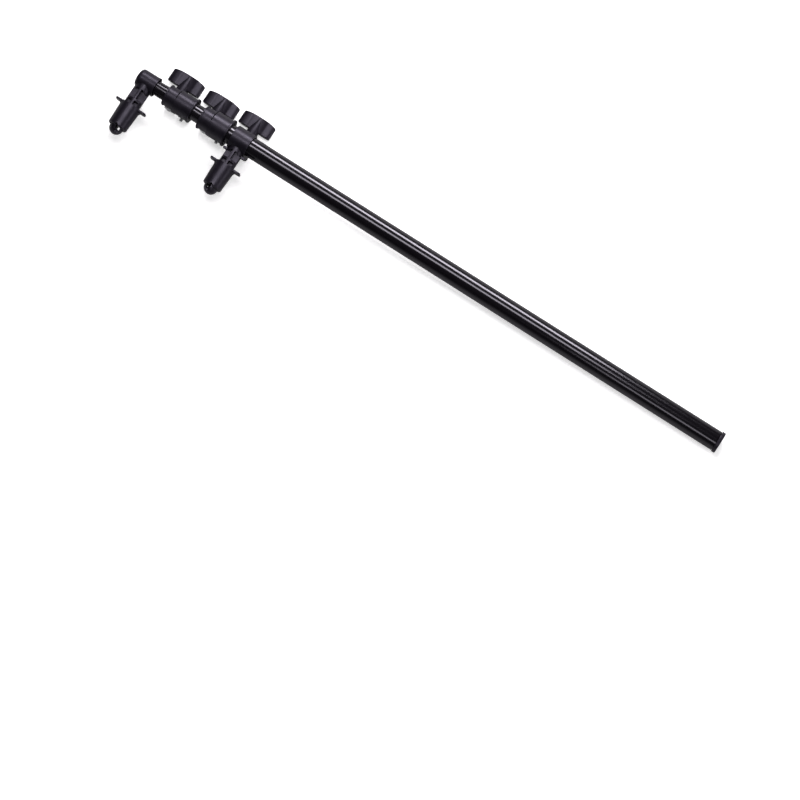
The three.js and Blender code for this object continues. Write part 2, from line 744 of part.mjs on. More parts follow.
function hook(outward) {
  const footCentre = hookBottom - hookRadius;
  const envelope = turnedAboutY([
    [footCentre - hookRadius, 0],
    [footCentre - hookRadius, hookRadius],
    ...arc(footCentre, 0, hookRadius, Math.PI / 2, 0),
  ], clipFacets);
  const tipTop = sleeveLedgeTop + sleeveLedgeThickness + seatGap;
  const tipInside = -hookRadius + hookTipWidth;
  const throatInside = tipInside + hookEyeWidth + hookPocketRib;
  const thickness = hookRadius;
  const section = shapeOf([
    [-hookRadius, tipTop],
    [tipInside, tipTop],
    [tipInside, hookSeatHeight],
    [throatInside, hookSeatHeight - hookPocketRib],
    [throatInside, tipTop],
    [hookRadius, tipTop],
    [hookRadius, hookBottom],
    [-hookRadius, hookBottom],
  ]);
  const foot = plateAlongZ(section, -thickness, thickness).intersect(envelope);
  const shank = rodAlongY(
    hookShankRadius,
    stemEnd - shankSocketDepth + seatGap,
    hookSeatHeight,
    smallFacets,
    hookShankOffset,
  );
  const pinHole = rodAlongZ(
    hookPinRadius + seatGap,
    -hookRadius,
    hookRadius,
    smallFacets,
    hookShankOffset,
    stemEnd - shankSocketDepth / 2,
  );
  let solid = foot.add(shank).subtract(pinHole);
  const pocketPitch = hookPocketWidth / 2;
  for (const face of [-1, 1]) {
    for (const column of [0, 1]) {
      const left = tipInside + column * pocketPitch;
      const right = left + pocketPitch - hookPocketRib;
      const low = hookSeatHeight + hookPocketRib;
      const high = low + hookPocketHeight;
      const middle = face * (hookRadius - hookPocketDepth / 2);
      const reach = hookPocketDepth / 2;
      solid = solid.subtract(block([left, low, middle - reach], [right, high, middle + reach]));
    }
  }
  return outward > 0 ? solid : solid.mirror([1, 0, 0]);
}

function hookPin(outward) {
  const x = outward * hookShankOffset;
  return rodAlongZ(
    hookPinRadius,
    -hookPinLength / 2,
    hookPinLength / 2,
    smallFacets,
    x,
    stemEnd - shankSocketDepth / 2,
  );
}

// The pieces that both clips have in common
function addClipEnd(group, clip, outward) {
  addPiece(group, `${clip}_sleeve`, sleeve(), 'plastic');
  addPiece(group, `${clip}_hook`, hook(outward), 'plastic');
  addPiece(group, `${clip}_hook_pin`, hookPin(outward), 'zinc');
  const spring = `${clip}_sleeve_spring`;
  const coilSolid = coil(
    spring,
    sleeveSpringWire,
    sleeveSpringRadius,
    sleeveSpringCurls,
    stemEnd,
    sleeveLedgeTop,
    0,
    0,
  );
  addPiece(group, spring, coilSolid, 'zinc');
}

// Tip clip: a closed cap on the end of the inner tube, with the stem standing out of its side

function tipClipBody() {
  const middle = tipCapLength / 2;
  const cap = turnedAboutX([
    [-middle, 0],
    [-middle, tipCapRadius + tipCapRimStep],
    [-middle + tipCapRimWidth, tipCapRadius + tipCapRimStep],
    [-middle + tipCapRimWidth, tipCapRadius],
    ...arc(middle - tipCapRounding, tipCapRadius - tipCapRounding, tipCapRounding, Math.PI / 2, 0),
    [middle, 0],
  ], tubeFacets);
  const boreEnd = middle - tipCapEndWall;
  const mouthEnd = -middle + tipMouthDepth;
  const bore = rodAlongX(innerTubeRadius + seatGap, -middle - cutOverrun, boreEnd, tubeFacets);
  const mouth = rodAlongX(innerTubeRadius + tipMouthGap, -middle - cutOverrun, mouthEnd, tubeFacets);
  return cap.add(stem(1, tipCapRadius)).subtract(bore).subtract(mouth);
}

function addTipClip() {
  const group = groupAt(tipCapStart + tipCapLength / 2);
  addPiece(group, 'tip_clip_body', tipClipBody(), 'plastic');
  addClipEnd(group, 'tip_clip', 1);
}

// Sliding clip: a split ring on the main tube, its ears, a nut pocket open to the front, lugs and stem

function slideClipBody() {
  const half = slideRingLength / 2;
  const earHalf = slideEarWidth / 2;
  const bore = mainTubeRadius + seatGap;
  const lug = roundedRectangle(
    -lugSpan / 2,
    lugSpan / 2,
    lugHeight - lugThickness / 2,
    lugHeight + lugThickness / 2,
    lugThickness / 3,
  );
  const nutBottom = slideEarReach - slideNutFloor;
  const nutHalf = knobNutAcrossFlats / 2 + seatGap;
  const nutReach = knobNutAcrossFlats / 2 / Math.cos(Math.PI / 6) + seatGap;
  const nutPocket = block(
    [-nutHalf, nutBottom - slideNutHeight - seatGap * 2, -earFrontDepth - cutOverrun],
    [nutHalf, nutBottom, -boltAxisDepth + nutReach],
  );
  const boltBore = rodAlongY(
    knobBoltRadius + seatGap,
    -slideEarReach - cutOverrun,
    slideEarReach + cutOverrun,
    smallFacets,
    0,
    -boltAxisDepth,
  );
  let solid = rodAlongX(slideRingRadius, -half, half, tubeFacets)
    .add(earPair(-earHalf, earHalf, slideEarReach, slideEarGap, slideEarCorner))
    .add(stem(-1, slideRingRadius))
    .add(plateAlongZ(lug, -lugWidth / 2, lugWidth / 2))
    .subtract(rodAlongX(bore, -half - cutOverrun, half + cutOverrun, tubeFacets))
    .subtract(splitSlot(-half, half, slideEarGap, bore))
    .subtract(nutPocket)
    .subtract(boltBore);
  for (const x of [-earHalf + slideMarkInset, earHalf - slideMarkInset]) {
    for (const y of [-slideEarReach + slideMarkInset, slideEarReach - slideMarkInset]) {
      solid = solid.subtract(earMark(x, y, slideMarkRadius));
    }
  }
  return solid;
}

function addSlideClip() {
  const group = groupAt(slideClipCentre);
  addPiece(group, 'slide_clip_body', slideClipBody(), 'plastic');
  addClipEnd(group, 'slide_clip', -1);
  const nutTop = slideEarReach - slideNutFloor - slideNutHeight - seatGap;
  addKnobSet(group, 3, 0, slideEarReach, slideEarGap, nutTop, slideNutHeight);
}

// The whole arm, collapsed

addPiece(groupAt(mainTubeStart), 'main_tube', tube(mainTubeRadius, mainTubeLength), 'lacquer');
addPiece(groupAt(midTubeStart), 'mid_tube', tube(midTubeRadius, midTubeLength), 'lacquer');
addPiece(groupAt(innerTubeStart), 'inner_tube', tube(innerTubeRadius, innerTubeLength), 'lacquer');
addPiece(groupAt(0), 'butt_cap', buttCap(), 'plastic');
addPiece(groupAt(midTubeStart), 'mid_tube_bush', guideBush(midTubeRadius, mainTubeRadius), 'plastic');
addPiece(groupAt(innerTubeStart), 'inner_tube_bush', guideBush(innerTubeRadius, midTubeRadius), 'plastic');
addCollar(2, collar2Start, mainTubeRadius, midTubeRadius);
addCollar(1, collar1Start, midTubeRadius, innerTubeRadius);
addTipClip();
addSlideClip();

export default arm;
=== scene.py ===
"""Finished look of a telescopic reflector holder arm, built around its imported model.

Metres. X runs along the tubes from the butt end to the tip, the clips point along +Y,
the knobs along -Y and the clamp ears face down, along -Z.
"""

import math

import bmesh
import bpy
from mathutils import Matrix, Vector


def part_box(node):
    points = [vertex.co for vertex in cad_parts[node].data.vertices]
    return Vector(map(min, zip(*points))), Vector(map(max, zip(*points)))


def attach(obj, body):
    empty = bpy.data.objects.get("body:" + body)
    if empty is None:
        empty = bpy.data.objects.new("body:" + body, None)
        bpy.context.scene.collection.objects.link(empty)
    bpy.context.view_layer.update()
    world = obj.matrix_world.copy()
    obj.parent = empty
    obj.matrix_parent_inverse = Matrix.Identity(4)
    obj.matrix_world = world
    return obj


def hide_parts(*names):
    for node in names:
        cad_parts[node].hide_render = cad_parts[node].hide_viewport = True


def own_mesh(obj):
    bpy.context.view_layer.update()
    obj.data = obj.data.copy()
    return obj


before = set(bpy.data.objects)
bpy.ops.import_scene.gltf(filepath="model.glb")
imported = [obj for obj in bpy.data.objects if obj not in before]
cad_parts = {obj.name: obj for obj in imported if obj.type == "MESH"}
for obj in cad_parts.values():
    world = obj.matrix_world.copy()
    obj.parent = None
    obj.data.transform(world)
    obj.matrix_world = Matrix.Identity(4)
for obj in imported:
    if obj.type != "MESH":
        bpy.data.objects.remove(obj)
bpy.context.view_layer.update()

bl_info = {
    "name": "Reflector holder arm",
    "version": (1, 0, 0),
    "blender": (4, 5, 0),
    "location": "3D View > Sidebar > Holder Arm",
    "description": "Builds the finished pieces, materials and stage of a reflector holder arm",
    "category": "Object",
}

# Fits that every piece keeps to, in metres
SEAT_GAP = 0.0003
OVERRUN = 0.001
EDGE = 0.0004

# How finely round shapes are drawn, and where an edge is sharp or a corner is blunt
CORNER_STEPS = 4
ROUND_STEPS = 96
SMALL_ROUND_STEPS = 48
COIL_STEPS = 32
WIRE_SIDES = 12
THREAD_STEPS = 24
THREAD_SIDES = 4
POLE_TURN = math.pi / 48
SHARP_ANGLE = math.radians(32)
BLUNT_ANGLE = math.radians(158)

# Shares of the size that each of them follows
CORNER_SHARE = 0.45
LUG_CORNER_SHARE = 1 / 3
HEAD_DOME_SHARE = 1 / 3
RECESS_SHARE = 0.6
POINT_SHARE = 1 / 3
NUT_CHAMFER_SHARE = 0.6
NUT_FACE_SHARE = 0.97

# The least spread of a corner when its outline is drawn inwards
LEAST_SPREAD = 0.0004

# The noise values between which the slow drift, the scratches and the worn patches set in
DRIFT_SPAN = (0.3, 0.7)
SCRATCH_SPAN = (0.6, 0.68)
WORN_SPAN = (0.52, 0.72)


# Property kinds


def length(name, default, description):
    """A size in metres."""
    return bpy.props.FloatProperty(
        name=name, description=description, default=default, min=0, unit="LENGTH", precision=5
    )


def angle(name, degrees, description):
    """An angle, written in degrees."""
    return bpy.props.FloatProperty(
        name=name, description=description, default=math.radians(degrees), subtype="ANGLE"
    )


def share(name, default, description):
    """A number from 0 to 1."""
    return bpy.props.FloatProperty(
        name=name, description=description, default=default, min=0, max=1, subtype="FACTOR"
    )


def colour(name, default, description):
    """A linear colour."""
    return bpy.props.FloatVectorProperty(
        name=name, description=description, default=default, size=3, min=0, max=1, subtype="COLOR"
    )


def watts(name, default, description):
    """The power of a lamp."""
    return bpy.props.FloatProperty(
        name=name, description=description, default=default, min=0, unit="POWER"
    )


class TubeSizes(bpy.types.PropertyGroup):
    """Sizes of the three nested tubes and the butt cap."""

    wall: length("Wall", 0.001, "Wall thickness of every tube")
    rim: length("Rim rounding", 0.0003, "Rounding of a tube's cut ends")
    cap_thickness: length("Cap thickness", 0.004, "Length of the butt cap outside the tube")
    cap_rounding: length("Cap rounding", 0.0028, "Reach of the rounding on the butt cap's edge")
    cap_dish: length("Cap dish", 0.0005, "Depth of the hollow in the butt cap's face")
    cap_land: length("Cap land", 0.0028, "Width of the flat land round the hollow")
    plug_length: length("Plug length", 0.012, "Length of the butt cap's plug inside the tube")
    plug_wall: length("Plug wall", 0.0016, "Wall of the plug")


class CollarSizes(bpy.types.PropertyGroup):
    """Sizes of the clamp collars."""

    wall: length("Wall", 0.0035, "Wall over the outer tube")
    small_wall: length("Small wall", 0.0034, "Wall of the clamping section")
    big_length: length("Fixed section", 0.021, "Length of the section on the outer tube")
    inner_lip: length("Inner lip", 0.001, "Stop that the outer tube's end meets")
    slit: length("Slit", 0.001, "Width of the slit between the two sections")
    slit_ease: length("Slit ease", 0.0002, "How far the slit is opened at each side")
    small_length: length("Clamping section", 0.012, "Length of the section on the inner tube")
    flange: length("Flange", 0.0018, "Thickness of the flange")
    flange_step: length("Flange step", 0.0013, "How far the flange stands out")
    rim: length("Rim", 0.0016, "Width of the rim at the far end")
    rim_step: length("Rim step", 0.0009, "How far the rim stands out")


class EarSizes(bpy.types.PropertyGroup):
    """Sizes of the clamp ears on the collars and on the sliding clip."""

    root: length("Root depth", 0.004, "Depth below the axis where the ears start")
    big_inset: length("Fixed ear inset", 0.0036, "Distance of the fixed ears from the flange's face")
    big_width: length("Fixed ear width", 0.0138, "Width of the fixed ears")
    overhang: length("Overhang", 0.0008, "How far the clamping ears reach over the slit")
    reach: length("Reach", 0.0094, "Half the height of a collar's pair of ears")
    gap: length("Split", 0.0047, "Split between a collar's ears")
    corner: length("Corner", 0.001, "Corner radius of a collar's ears")
    mark: length("Mark", 0.00235, "Radius of the round marks on the ears' faces")
    mark_depth: length("Mark depth", 0.0003, "Depth of the round marks")
    slide_reach: length("Sliding clip reach", 0.0117, "Half the height of the sliding clip's ears")
    slide_gap: length("Sliding clip split", 0.0044, "Split between the sliding clip's ears")
    slide_width: length("Sliding clip width", 0.0213, "Width of the sliding clip's ears")
    slide_corner: length("Sliding clip corner", 0.0018, "Corner radius of the sliding clip's ears")
    slide_mark: length("Sliding clip mark", 0.0015, "Radius of the sliding clip's marks")
    slide_mark_inset: length("Sliding clip mark inset", 0.0032, "Distance of a mark from the edges")


class FastenerSizes(bpy.types.PropertyGroup):
    """Sizes of the bolts, nuts and washers."""

    bolt: length("Knob bolt", 0.0029, "Radius of a knob's bolt over its thread")
    pitch: length("Knob bolt pitch", 0.001, "Pitch of a knob bolt's thread")
    nut_flats: length("Knob nut", 0.01, "Width across the flats of a knob's nut")
    nut_pocket: length("Nut pocket", 0.0042, "Depth of the nut's pocket in a collar")
    slide_nut: length("Sliding clip nut", 0.0039, "Height of the sliding clip's nut")
    slide_nut_floor: length("Sliding clip nut floor", 0.0005, "Wall under the sliding clip's nut")
    small_bolt: length("Fixed bolt", 0.0019, "Radius of a collar's fixed bolt over its thread")
    small_pitch: length("Fixed bolt pitch", 0.0007, "Pitch of a fixed bolt's thread")
    head: length("Fixed bolt head", 0.00375, "Radius of a fixed bolt's head")
    head_height: length("Fixed bolt head height", 0.0025, "Height of a fixed bolt's head")
    small_nut_flats: length("Fixed nut", 0.007, "Width across the flats of a fixed nut")
    small_nut: length("Fixed nut height", 0.0032, "Height of a fixed nut")
    thread_depth: share("Thread depth", 0.13, "Depth of a thread as a share of its radius")
    recess: length("Driver recess", 0.0011, "Width of the cross recess in a bolt head")


class KnobSizes(bpy.types.PropertyGroup):
    """Sizes of the wing knobs."""

    stem: length("Stem radius", 0.0065, "Radius of the knob's foot")
    stem_length: length("Stem length", 0.0064, "Height of the foot under the wings")
    height: length("Wing height", 0.0166, "Height of the wings at the middle")
    crown: length("Crown", 0.0022, "How far the wings' top edge falls towards its ends")
    waist: length("Waist", 0.0054, "Thickness of the wings at the middle")
    bulge: length("Bulge", 0.0084, "Greatest thickness of the wings")
    tip: length("Tip", 0.004, "Thickness of the wings at their ends")
    cone_top: length("Fairing top", 0.0024, "Radius of the fairing where it meets the top edge")
    edge: length("Edge rounding", 0.0008, "Rounding of the wings' edges")
    root: length("Fairing root", 0.0024, "Reach of the rounding between the foot and the fairing")
    bore: length("Bore depth", 0.014, "Depth of the hole for the bolt")


class SpringSizes(bpy.types.PropertyGroup):
    """Sizes of the wound springs."""

    clamp_wire: length("Clamp spring wire", 0.0006, "Wire of the springs between the ears")
    clamp_radius: length("Clamp spring radius", 0.00375, "Radius of the clamp springs' middle line")
    clamp_curls: bpy.props.FloatProperty(
        name="Clamp spring curls", description="Curls of a clamp spring", default=2.5, min=1
    )
    sleeve_wire: length("Sleeve spring wire", 0.0008, "Wire of the springs in the sleeves")
    sleeve_radius: length("Sleeve spring radius", 0.0073, "Radius of the sleeve springs' middle line")
    sleeve_curls: bpy.props.FloatProperty(
        name="Sleeve spring curls", description="Curls of a sleeve spring", default=4, min=1
    )


class ClipSizes(bpy.types.PropertyGroup):
    """Sizes of the clip bodies: the tip cap, the clamp ring and the stems."""

    cap_wall: length("Cap wall", 0.00245, "Wall of the tip cap")
    cap_end_wall: length("Cap end wall", 0.003, "Thickness of the tip cap's closed end")
    cap_rounding: length("Cap rounding", 0.0048, "Reach of the rounding on the tip cap's end")
    cap_rim: length("Cap rim", 0.0016, "Width of the rim at the tip cap's mouth")
    cap_rim_step: length("Cap rim step", 0.00035, "How far that rim stands out")
    mouth_gap: length("Mouth gap", 0.0013, "Gap round the inner tube at the mouth")
    mouth_depth: length("Mouth depth", 0.003, "Depth of the widened mouth")
    ring_wall: length("Ring wall", 0.002, "Wall of the sliding clip's ring")
    ring_length: length("Ring length", 0.0215, "Length of the sliding clip's ring")
    lug_span: length("Lug span", 0.0272, "Length across the two finger lugs")
    lug_thickness: length("Lug thickness", 0.0026, "Thickness of the finger lugs")
    lug_width: length("Lug width", 0.005, "Width of the finger lugs")
    lug_height: length("Lug height", 0.015, "Distance of the lugs from the tube's axis")
    stem: length("Stem radius", 0.00925, "Radius of the cored stem")
    stem_root: length("Stem root", 0.005, "Where the stem starts, inside the ring or cap")
    panel_slant: length("Panel slant", 0.0037, "How far the pockets' ends run off sideways")
    cross_rib: length("Cross rib", 0.0248, "Height of the cross rib's middle line")
    cross_rib_thickness: length("Cross rib thickness", 0.0022, "Thickness of the cross rib")
    panel_end: length("Panel end", 0.0312, "Where the stem's pockets end, inside the sleeve")
    stem_end: length("Stem end", 0.0368, "End of the stem, inside the sleeve")
    rib: length("Long rib", 0.0027, "Thickness of the stem's long rib")
    web: length("Web", 0.003, "Thickness of the web between the pockets")
    side_wall: length("Side wall", 0.0024, "Thickness of the side walls past the cross rib")
    shallow: length("Shallow pocket", 0.0054, "Depth of the pockets on the outer side")
    socket: length("Socket", 0.005, "Depth of the socket for the hook's shank")
    pin: length("Pin", 0.001, "Radius of the cross pin")


class SleeveSizes(bpy.types.PropertyGroup):
    """Sizes of the spring sleeves and their finger tabs."""

    top: length("Top", 0.0308, "Distance of the sleeve's open end from the tube's axis")
    top_radius: length("Top radius", 0.0119, "Outer radius at the open end")
    bottom_radius: length("Bottom radius", 0.0109, "Outer radius at the hook's end")
    bore: length("Bore", 0.0096, "Radius of the bore over the stem")
    spring_bore: length("Spring bore", 0.0083, "Radius of the bore round the spring")
    ledge: length("Ledge", 0.0015, "Thickness of the ledge that the spring pushes on")
    ledge_hole: length("Ledge hole", 0.0067, "Radius of the hole in the ledge")
    mouth: length("Mouth", 0.0089, "Radius of the mouth round the hook")
    mouth_depth: length("Mouth depth", 0.002, "Depth of the mouth")
    spring_room: length("Spring room", 0.004, "Length of the bore round the spring")
    rounding: length("Rounding", 0.0016, "Reach of the rounding on the lower rim")
    tab_span: length("Tab span", 0.037, "Length across the two finger tabs")
    tab_width: length("Tab width", 0.012, "Width of the finger tabs")
    tab_thickness: length("Tab thickness", 0.0021, "Thickness of the finger tabs")
    tab_corner: length("Tab corner", 0.0035, "Corner radius of the finger tabs")
    tab_fillet: length("Tab fillet", 0.0026, "Fillet between the tabs and the sleeve")
    notch: length("Notch", 0.0026, "Width and height of the notches in the lower rim")


class HookSizes(bpy.types.PropertyGroup):
    """Sizes of the hooks that the sleeves close."""

    radius: length("Radius", 0.00785, "Radius of the round foot")
    shank: length("Shank", 0.003, "Radius of the shank")
    offset: length("Shank offset", 0.0034, "Distance of the shank from the middle")
    tip: length("Tip width", 0.0026, "Width of the hook's tip")
    foot: length("Foot", 0.0054, "Thickness of the foot under the eye")
    eye: length("Eye", 0.005, "Width of the eye")
    pocket: length("Pocket", 0.0025, "Pitch of the pockets in the foot")
    pocket_height: length("Pocket height", 0.0026, "Height of the pockets in the foot")
    pocket_depth: length("Pocket depth", 0.004, "Depth of the pockets in the foot")
    pocket_rib: length("Pocket rib", 0.0007, "Rib between the pockets")


class Finishes(bpy.types.PropertyGroup):
    """Colours of the finishes."""

    lacquer: colour("Lacquer", (0.0034, 0.0028, 0.0041), "Black lacquer of the tubes")
    lacquer_worn: colour("Rubbed lacquer", (0.0101, 0.0095, 0.0115), "Lacquer where it is rubbed")
    plastic: colour("Plastic", (0.0048, 0.0038, 0.0068), "Near-black moulded plastic")
    plastic_worn: colour("Rubbed plastic", (0.012, 0.0102, 0.0158), "Plastic where it is rubbed")
    zinc: colour("Zinc", (0.78, 0.79, 0.81), "Bright zinc plate")
    zinc_dull: colour("Dull zinc", (0.6, 0.61, 0.63), "Zinc plate where it has dulled")
    copper: colour("Coppered wire", (0.46, 0.2, 0.115), "Coppered spring wire")
    copper_dull: colour("Dull wire", (0.2, 0.1, 0.065), "Spring wire where it has dulled")


class StageSettings(bpy.types.PropertyGroup):
    """The camera, the floor and the lamps."""

    target_x: length("Target along", 0.3045, "Point on the tube's axis plane that the camera faces")
    target_y: length("Target across", 0.1422, "The same point's distance to the clips' side")
    azimuth: angle("Azimuth", 126.4, "Camera's direction from the target, from +X towards +Y")
    elevation: angle("Elevation", 80.7, "Camera's height above the target")
    roll: angle("Roll", -3.5, "Turn of the camera about its own axis")
    distance: length("Distance", 2.609, "Camera's distance from the target")
    lens: bpy.props.FloatProperty(
        name="Lens", description="Focal length on a 36 mm sensor, in mm", default=112.5, min=10
    )
    floor: colour("Floor", (0.93, 0.93, 0.93), "Pale floor")
    floor_size: length("Floor size", 9.0, "Length of the floor's sides")
    floor_rough: share("Floor roughness", 0.6, "Roughness of the floor")
    floor_shine: share("Floor shine", 0.2, "Strength of the floor's own gloss")
    floor_glow: share("Floor glow", 0.5, "Light that only the camera sees added to the floor")
    floor_gloss: share("Floor in gloss", 0.5, "How much of the floor shows in gloss and metal")
    ambient: share("Ambient", 0.22, "Strength of the plain light from all round")
    horizon: share("Horizon", 0.36, "How bright the horizon looks in gloss and metal")
    ceiling: share("Ceiling", 0.03, "How bright the room overhead looks in gloss and metal")
    ceiling_height: share("Ceiling height", 0.35, "How steeply a ray rises where it meets the ceiling")
    light: colour("Light", (1.0, 0.97, 1.0), "Colour of the lamps")
    side_power: watts("Side lamp", 17.5, "Power of the lamp on the knobs' side")
    top_power: watts("Top lamp", 6.6, "Power of the lamp overhead")
    butt_power: watts("Butt lamp", 1.9, "Power of the lamp near the butt end")
    end_power: watts("End lamp", 4, "Power of the lamp that faces the arm from beyond its butt end")


# Where each lamp stands, the point that it faces, and its length and width
LAMPS = {
    "side": {"place": (0.595, -0.992, 0.761), "target": (0.595, 0, 0), "size": (0.81, 0.36)},
    "top": {"place": (0.59, -0.109, 1.245), "target": (0.59, 0, 0), "size": (0.82, 0.3)},
    "butt": {"place": (-0.1, 0.717, 1.024), "target": (-0.1, 0, 0), "size": (0.6, 0.28)},
    "end": {"place": (-1.1, -0.3, 0.65), "target": (0.65, 0, 0), "size": (0.9, 0.5)},
}


GROUPS = {
    "arm_tubes": TubeSizes,
    "arm_collars": CollarSizes,
    "arm_ears": EarSizes,
    "arm_fasteners": FastenerSizes,
    "arm_knobs": KnobSizes,
    "arm_springs": SpringSizes,
    "arm_clips": ClipSizes,
    "arm_sleeves": SleeveSizes,
    "arm_hooks": HookSizes,
    "arm_finishes": Finishes,
    "arm_stage": StageSettings,
}


# Places that come from the frame


def middle(node):
    """The middle of a node's box."""
    low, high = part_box(node)
    return (low + high) / 2


def tube_radius(node):
    """The outer radius of a tube."""
    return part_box(node)[1].y


BOLT_DEPTH = middle("knob_1_bolt").z
EAR_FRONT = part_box("collar_1")[0].z

# The tube that each collar sits on, and the tube that it clamps
COLLAR_TUBES = {"collar_1": ("mid_tube", "inner_tube"), "collar_2": ("main_tube", "mid_tube")}

# The body that carries each knob
KNOB_BODIES = {1: "collar_1", 2: "collar_2", 3: "slide_clip"}

# The body and the joint of each clip's sleeve, and the side of its shallow pockets along X
CLIPS = {
    "slide_clip": {"sleeve_body": "slide_sleeve", "joint": "slide_sleeve_press", "outward": -1},
    "tip_clip": {"sleeve_body": "tip_sleeve", "joint": "tip_sleeve_press", "outward": 1},
}


# Mesh code


def skin(rows, ring=False):
    """A closed mesh through rows of points.

    A row of one point is a pole. Other end rows are closed by a face, and a ring joins its
    last row to its first.
    """
    shell = bmesh.new()
    made = [[shell.verts.new(point) for point in row] for row in rows]
    count = max(len(row) for row in made)
    pairs = list(zip(made, made[1:]))
    if ring:
        pairs.append((made[-1], made[0]))
    for low, high in pairs:
        for k in range(count):
            following = (k + 1) % count
            corners = [
                low[k % len(low)],
                low[following % len(low)],
                high[following % len(high)],
                high[k % len(high)],
            ]
            corners = list(dict.fromkeys(corners))
            if len(corners) > 2:
                shell.faces.new(corners)
    if not ring:
        for end in (made[0], made[-1]):
            if len(end) > 1:
                shell.faces.new(end)
    bmesh.ops.recalc_face_normals(shell, faces=shell.faces)
    mesh = bpy.data.meshes.new("shape")
    shell.to_mesh(mesh)
    shell.free()
    return mesh


def on_axis(axis, along, first, second):
    """A point by its place along an axis and its two places across it."""
    return {
        "X": (along, first, second),
        "Y": (first, along, second),
        "Z": (first, second, along),
    }[axis]


def turned(profile, axis, steps=ROUND_STEPS, ring=False):
    """A profile of (along, radius) turned about an axis."""
    turns = [2 * math.pi * k / steps for k in range(steps)]
    rows = []
    for along, radius in profile:
        if radius == 0:
            rows.append([on_axis(axis, along, 0, 0)])
        else:
            rows.append(
                [on_axis(axis, along, radius * math.cos(t), radius * math.sin(t)) for t in turns]
            )
    return skin(rows, ring)


def eased(points, reach, closed=False, steps=CORNER_STEPS):
    """An outline whose corners are curves that reach this far along their sides.

    A point's third value is its own reach.
    """
    flat = [Vector(point[:2]) for point in points]
    own = [point[2] if len(point) > 2 else reach for point in points]
    drawn = []
    for k, here in enumerate(flat):
        if not closed and k in (0, len(flat) - 1):
            drawn.append(tuple(here))
            continue
        back = flat[k - 1] - here
        on = flat[(k + 1) % len(flat)] - here
        if own[k] == 0 or back.angle(on) > BLUNT_ANGLE:
            drawn.append(tuple(here))
            continue
        short = min(own[k], back.length * CORNER_SHARE, on.length * CORNER_SHARE)
        start = here + back.normalized() * short
        end = here + on.normalized() * short
        for step in range(steps + 1):
            t = step / steps
            drawn.append(tuple(start * (1 - t) ** 2 + here * 2 * t * (1 - t) + end * t * t))
    return drawn


def panel(left, right, low, high, corner):
    """A rectangle with rounded corners."""
    return eased([(left, low), (right, low), (right, high), (left, high)], corner, closed=True)


def arc(x, y, radius, start, end, steps=CORNER_STEPS * 2):
    """Points on a circle about a point, from one angle to another."""
    turns = [start + (end - start) * k / steps for k in range(steps + 1)]
    return [(x + radius * math.cos(t), y + radius * math.sin(t)) for t in turns]


def inset(outline, distance):
    """An outline drawn inwards by a distance."""
    flat = [Vector(point) for point in outline]
    count = len(flat)
    area = sum(flat[k - 1].cross(flat[k]) for k in range(count))
    turn = 1 if area > 0 else -1
    drawn = []
    for k, here in enumerate(flat):
        before = (here - flat[k - 1]).normalized()
        after = (flat[(k + 1) % count] - here).normalized()
        inward = Vector((-before.y - after.y, before.x + after.x)) * turn
        spread = max(inward.length_squared / 2, LEAST_SPREAD)
        drawn.append(tuple(here + inward * distance / spread))
    return drawn


def prism(outline, axis, low, high, low_rim=0.0, high_rim=0.0):
    """An outline drawn along an axis, with the rims of its two ends rounded."""
    rows = []

    def row(along, distance):
        shape = inset(outline, distance) if distance else outline
        rows.append([on_axis(axis, along, *point) for point in shape])

    for k in range(CORNER_STEPS if low_rim else 0):
        turn = math.pi / 2 * k / CORNER_STEPS
        row(low + low_rim * (1 - math.cos(turn)), low_rim * (1 - math.sin(turn)))
    row(low + low_rim, 0)
    row(high - high_rim, 0)
    for k in reversed(range(CORNER_STEPS if high_rim else 0)):
        turn = math.pi / 2 * k / CORNER_STEPS
        row(high - high_rim * (1 - math.cos(turn)), high_rim * (1 - math.sin(turn)))
    return skin(rows)


def slab(low, high):
    """A box between two corners, used as a cutter."""
    outline = [(low[0], low[1]), (high[0], low[1]), (high[0], high[1]), (low[0], high[1])]
    return prism(outline, "Z", low[2], high[2])


def bore(axis, radius, low, high, low_open=0.0, high_open=0.0, steps=SMALL_ROUND_STEPS):
    """A round cutter. Where it breaks through a face it opens out by a chamfer."""
    profile = [(low, radius)]
    if low_open:
        wide = radius + low_open
        profile = [(low - OVERRUN, wide), (low, wide), (low + low_open, radius)]
    if high_open:
        wide = radius + high_open
        profile += [(high - high_open, radius), (high, wide), (high + OVERRUN, wide)]
    else:
        profile.append((high, radius))
    return turned(profile, axis, steps)


def corner_radius(flats):
    """Half a hexagon's width across its corners, by its width across the flats."""
    return flats / 2 / math.cos(math.pi / 6)


def hexagon(flats):
    """A hexagon with two flats square to X, by its width across the flats."""
    corner = corner_radius(flats)
    turns = [math.pi / 6 + math.pi / 3 * k for k in range(6)]
    return [(corner * math.cos(t), corner * math.sin(t)) for t in turns]


def moved(mesh, x=0.0, y=0.0, z=0.0):
    """The same mesh, moved."""
    mesh.transform(Matrix.Translation((x, y, z)))
    return mesh


def mirrored(mesh, axis):
    """The same mesh, mirrored, with its faces turned the right way again."""
    mesh.transform(Matrix.Scale(-1, 4, Vector(on_axis(axis, 1, 0, 0))))
    mesh.flip_normals()
    return mesh


def linked(name, mesh):
    """A new object in the scene."""
    thing = bpy.data.objects.new(name, mesh)
    bpy.context.scene.collection.objects.link(thing)
    return thing


def evaluated_mesh(thing):
    """The object's mesh with its modifiers applied, and the object gone."""
    bpy.context.view_layer.update()
    ready = thing.evaluated_get(bpy.context.evaluated_depsgraph_get())
    mesh = bpy.data.meshes.new_from_object(ready)
    bpy.data.objects.remove(thing)
    return mesh


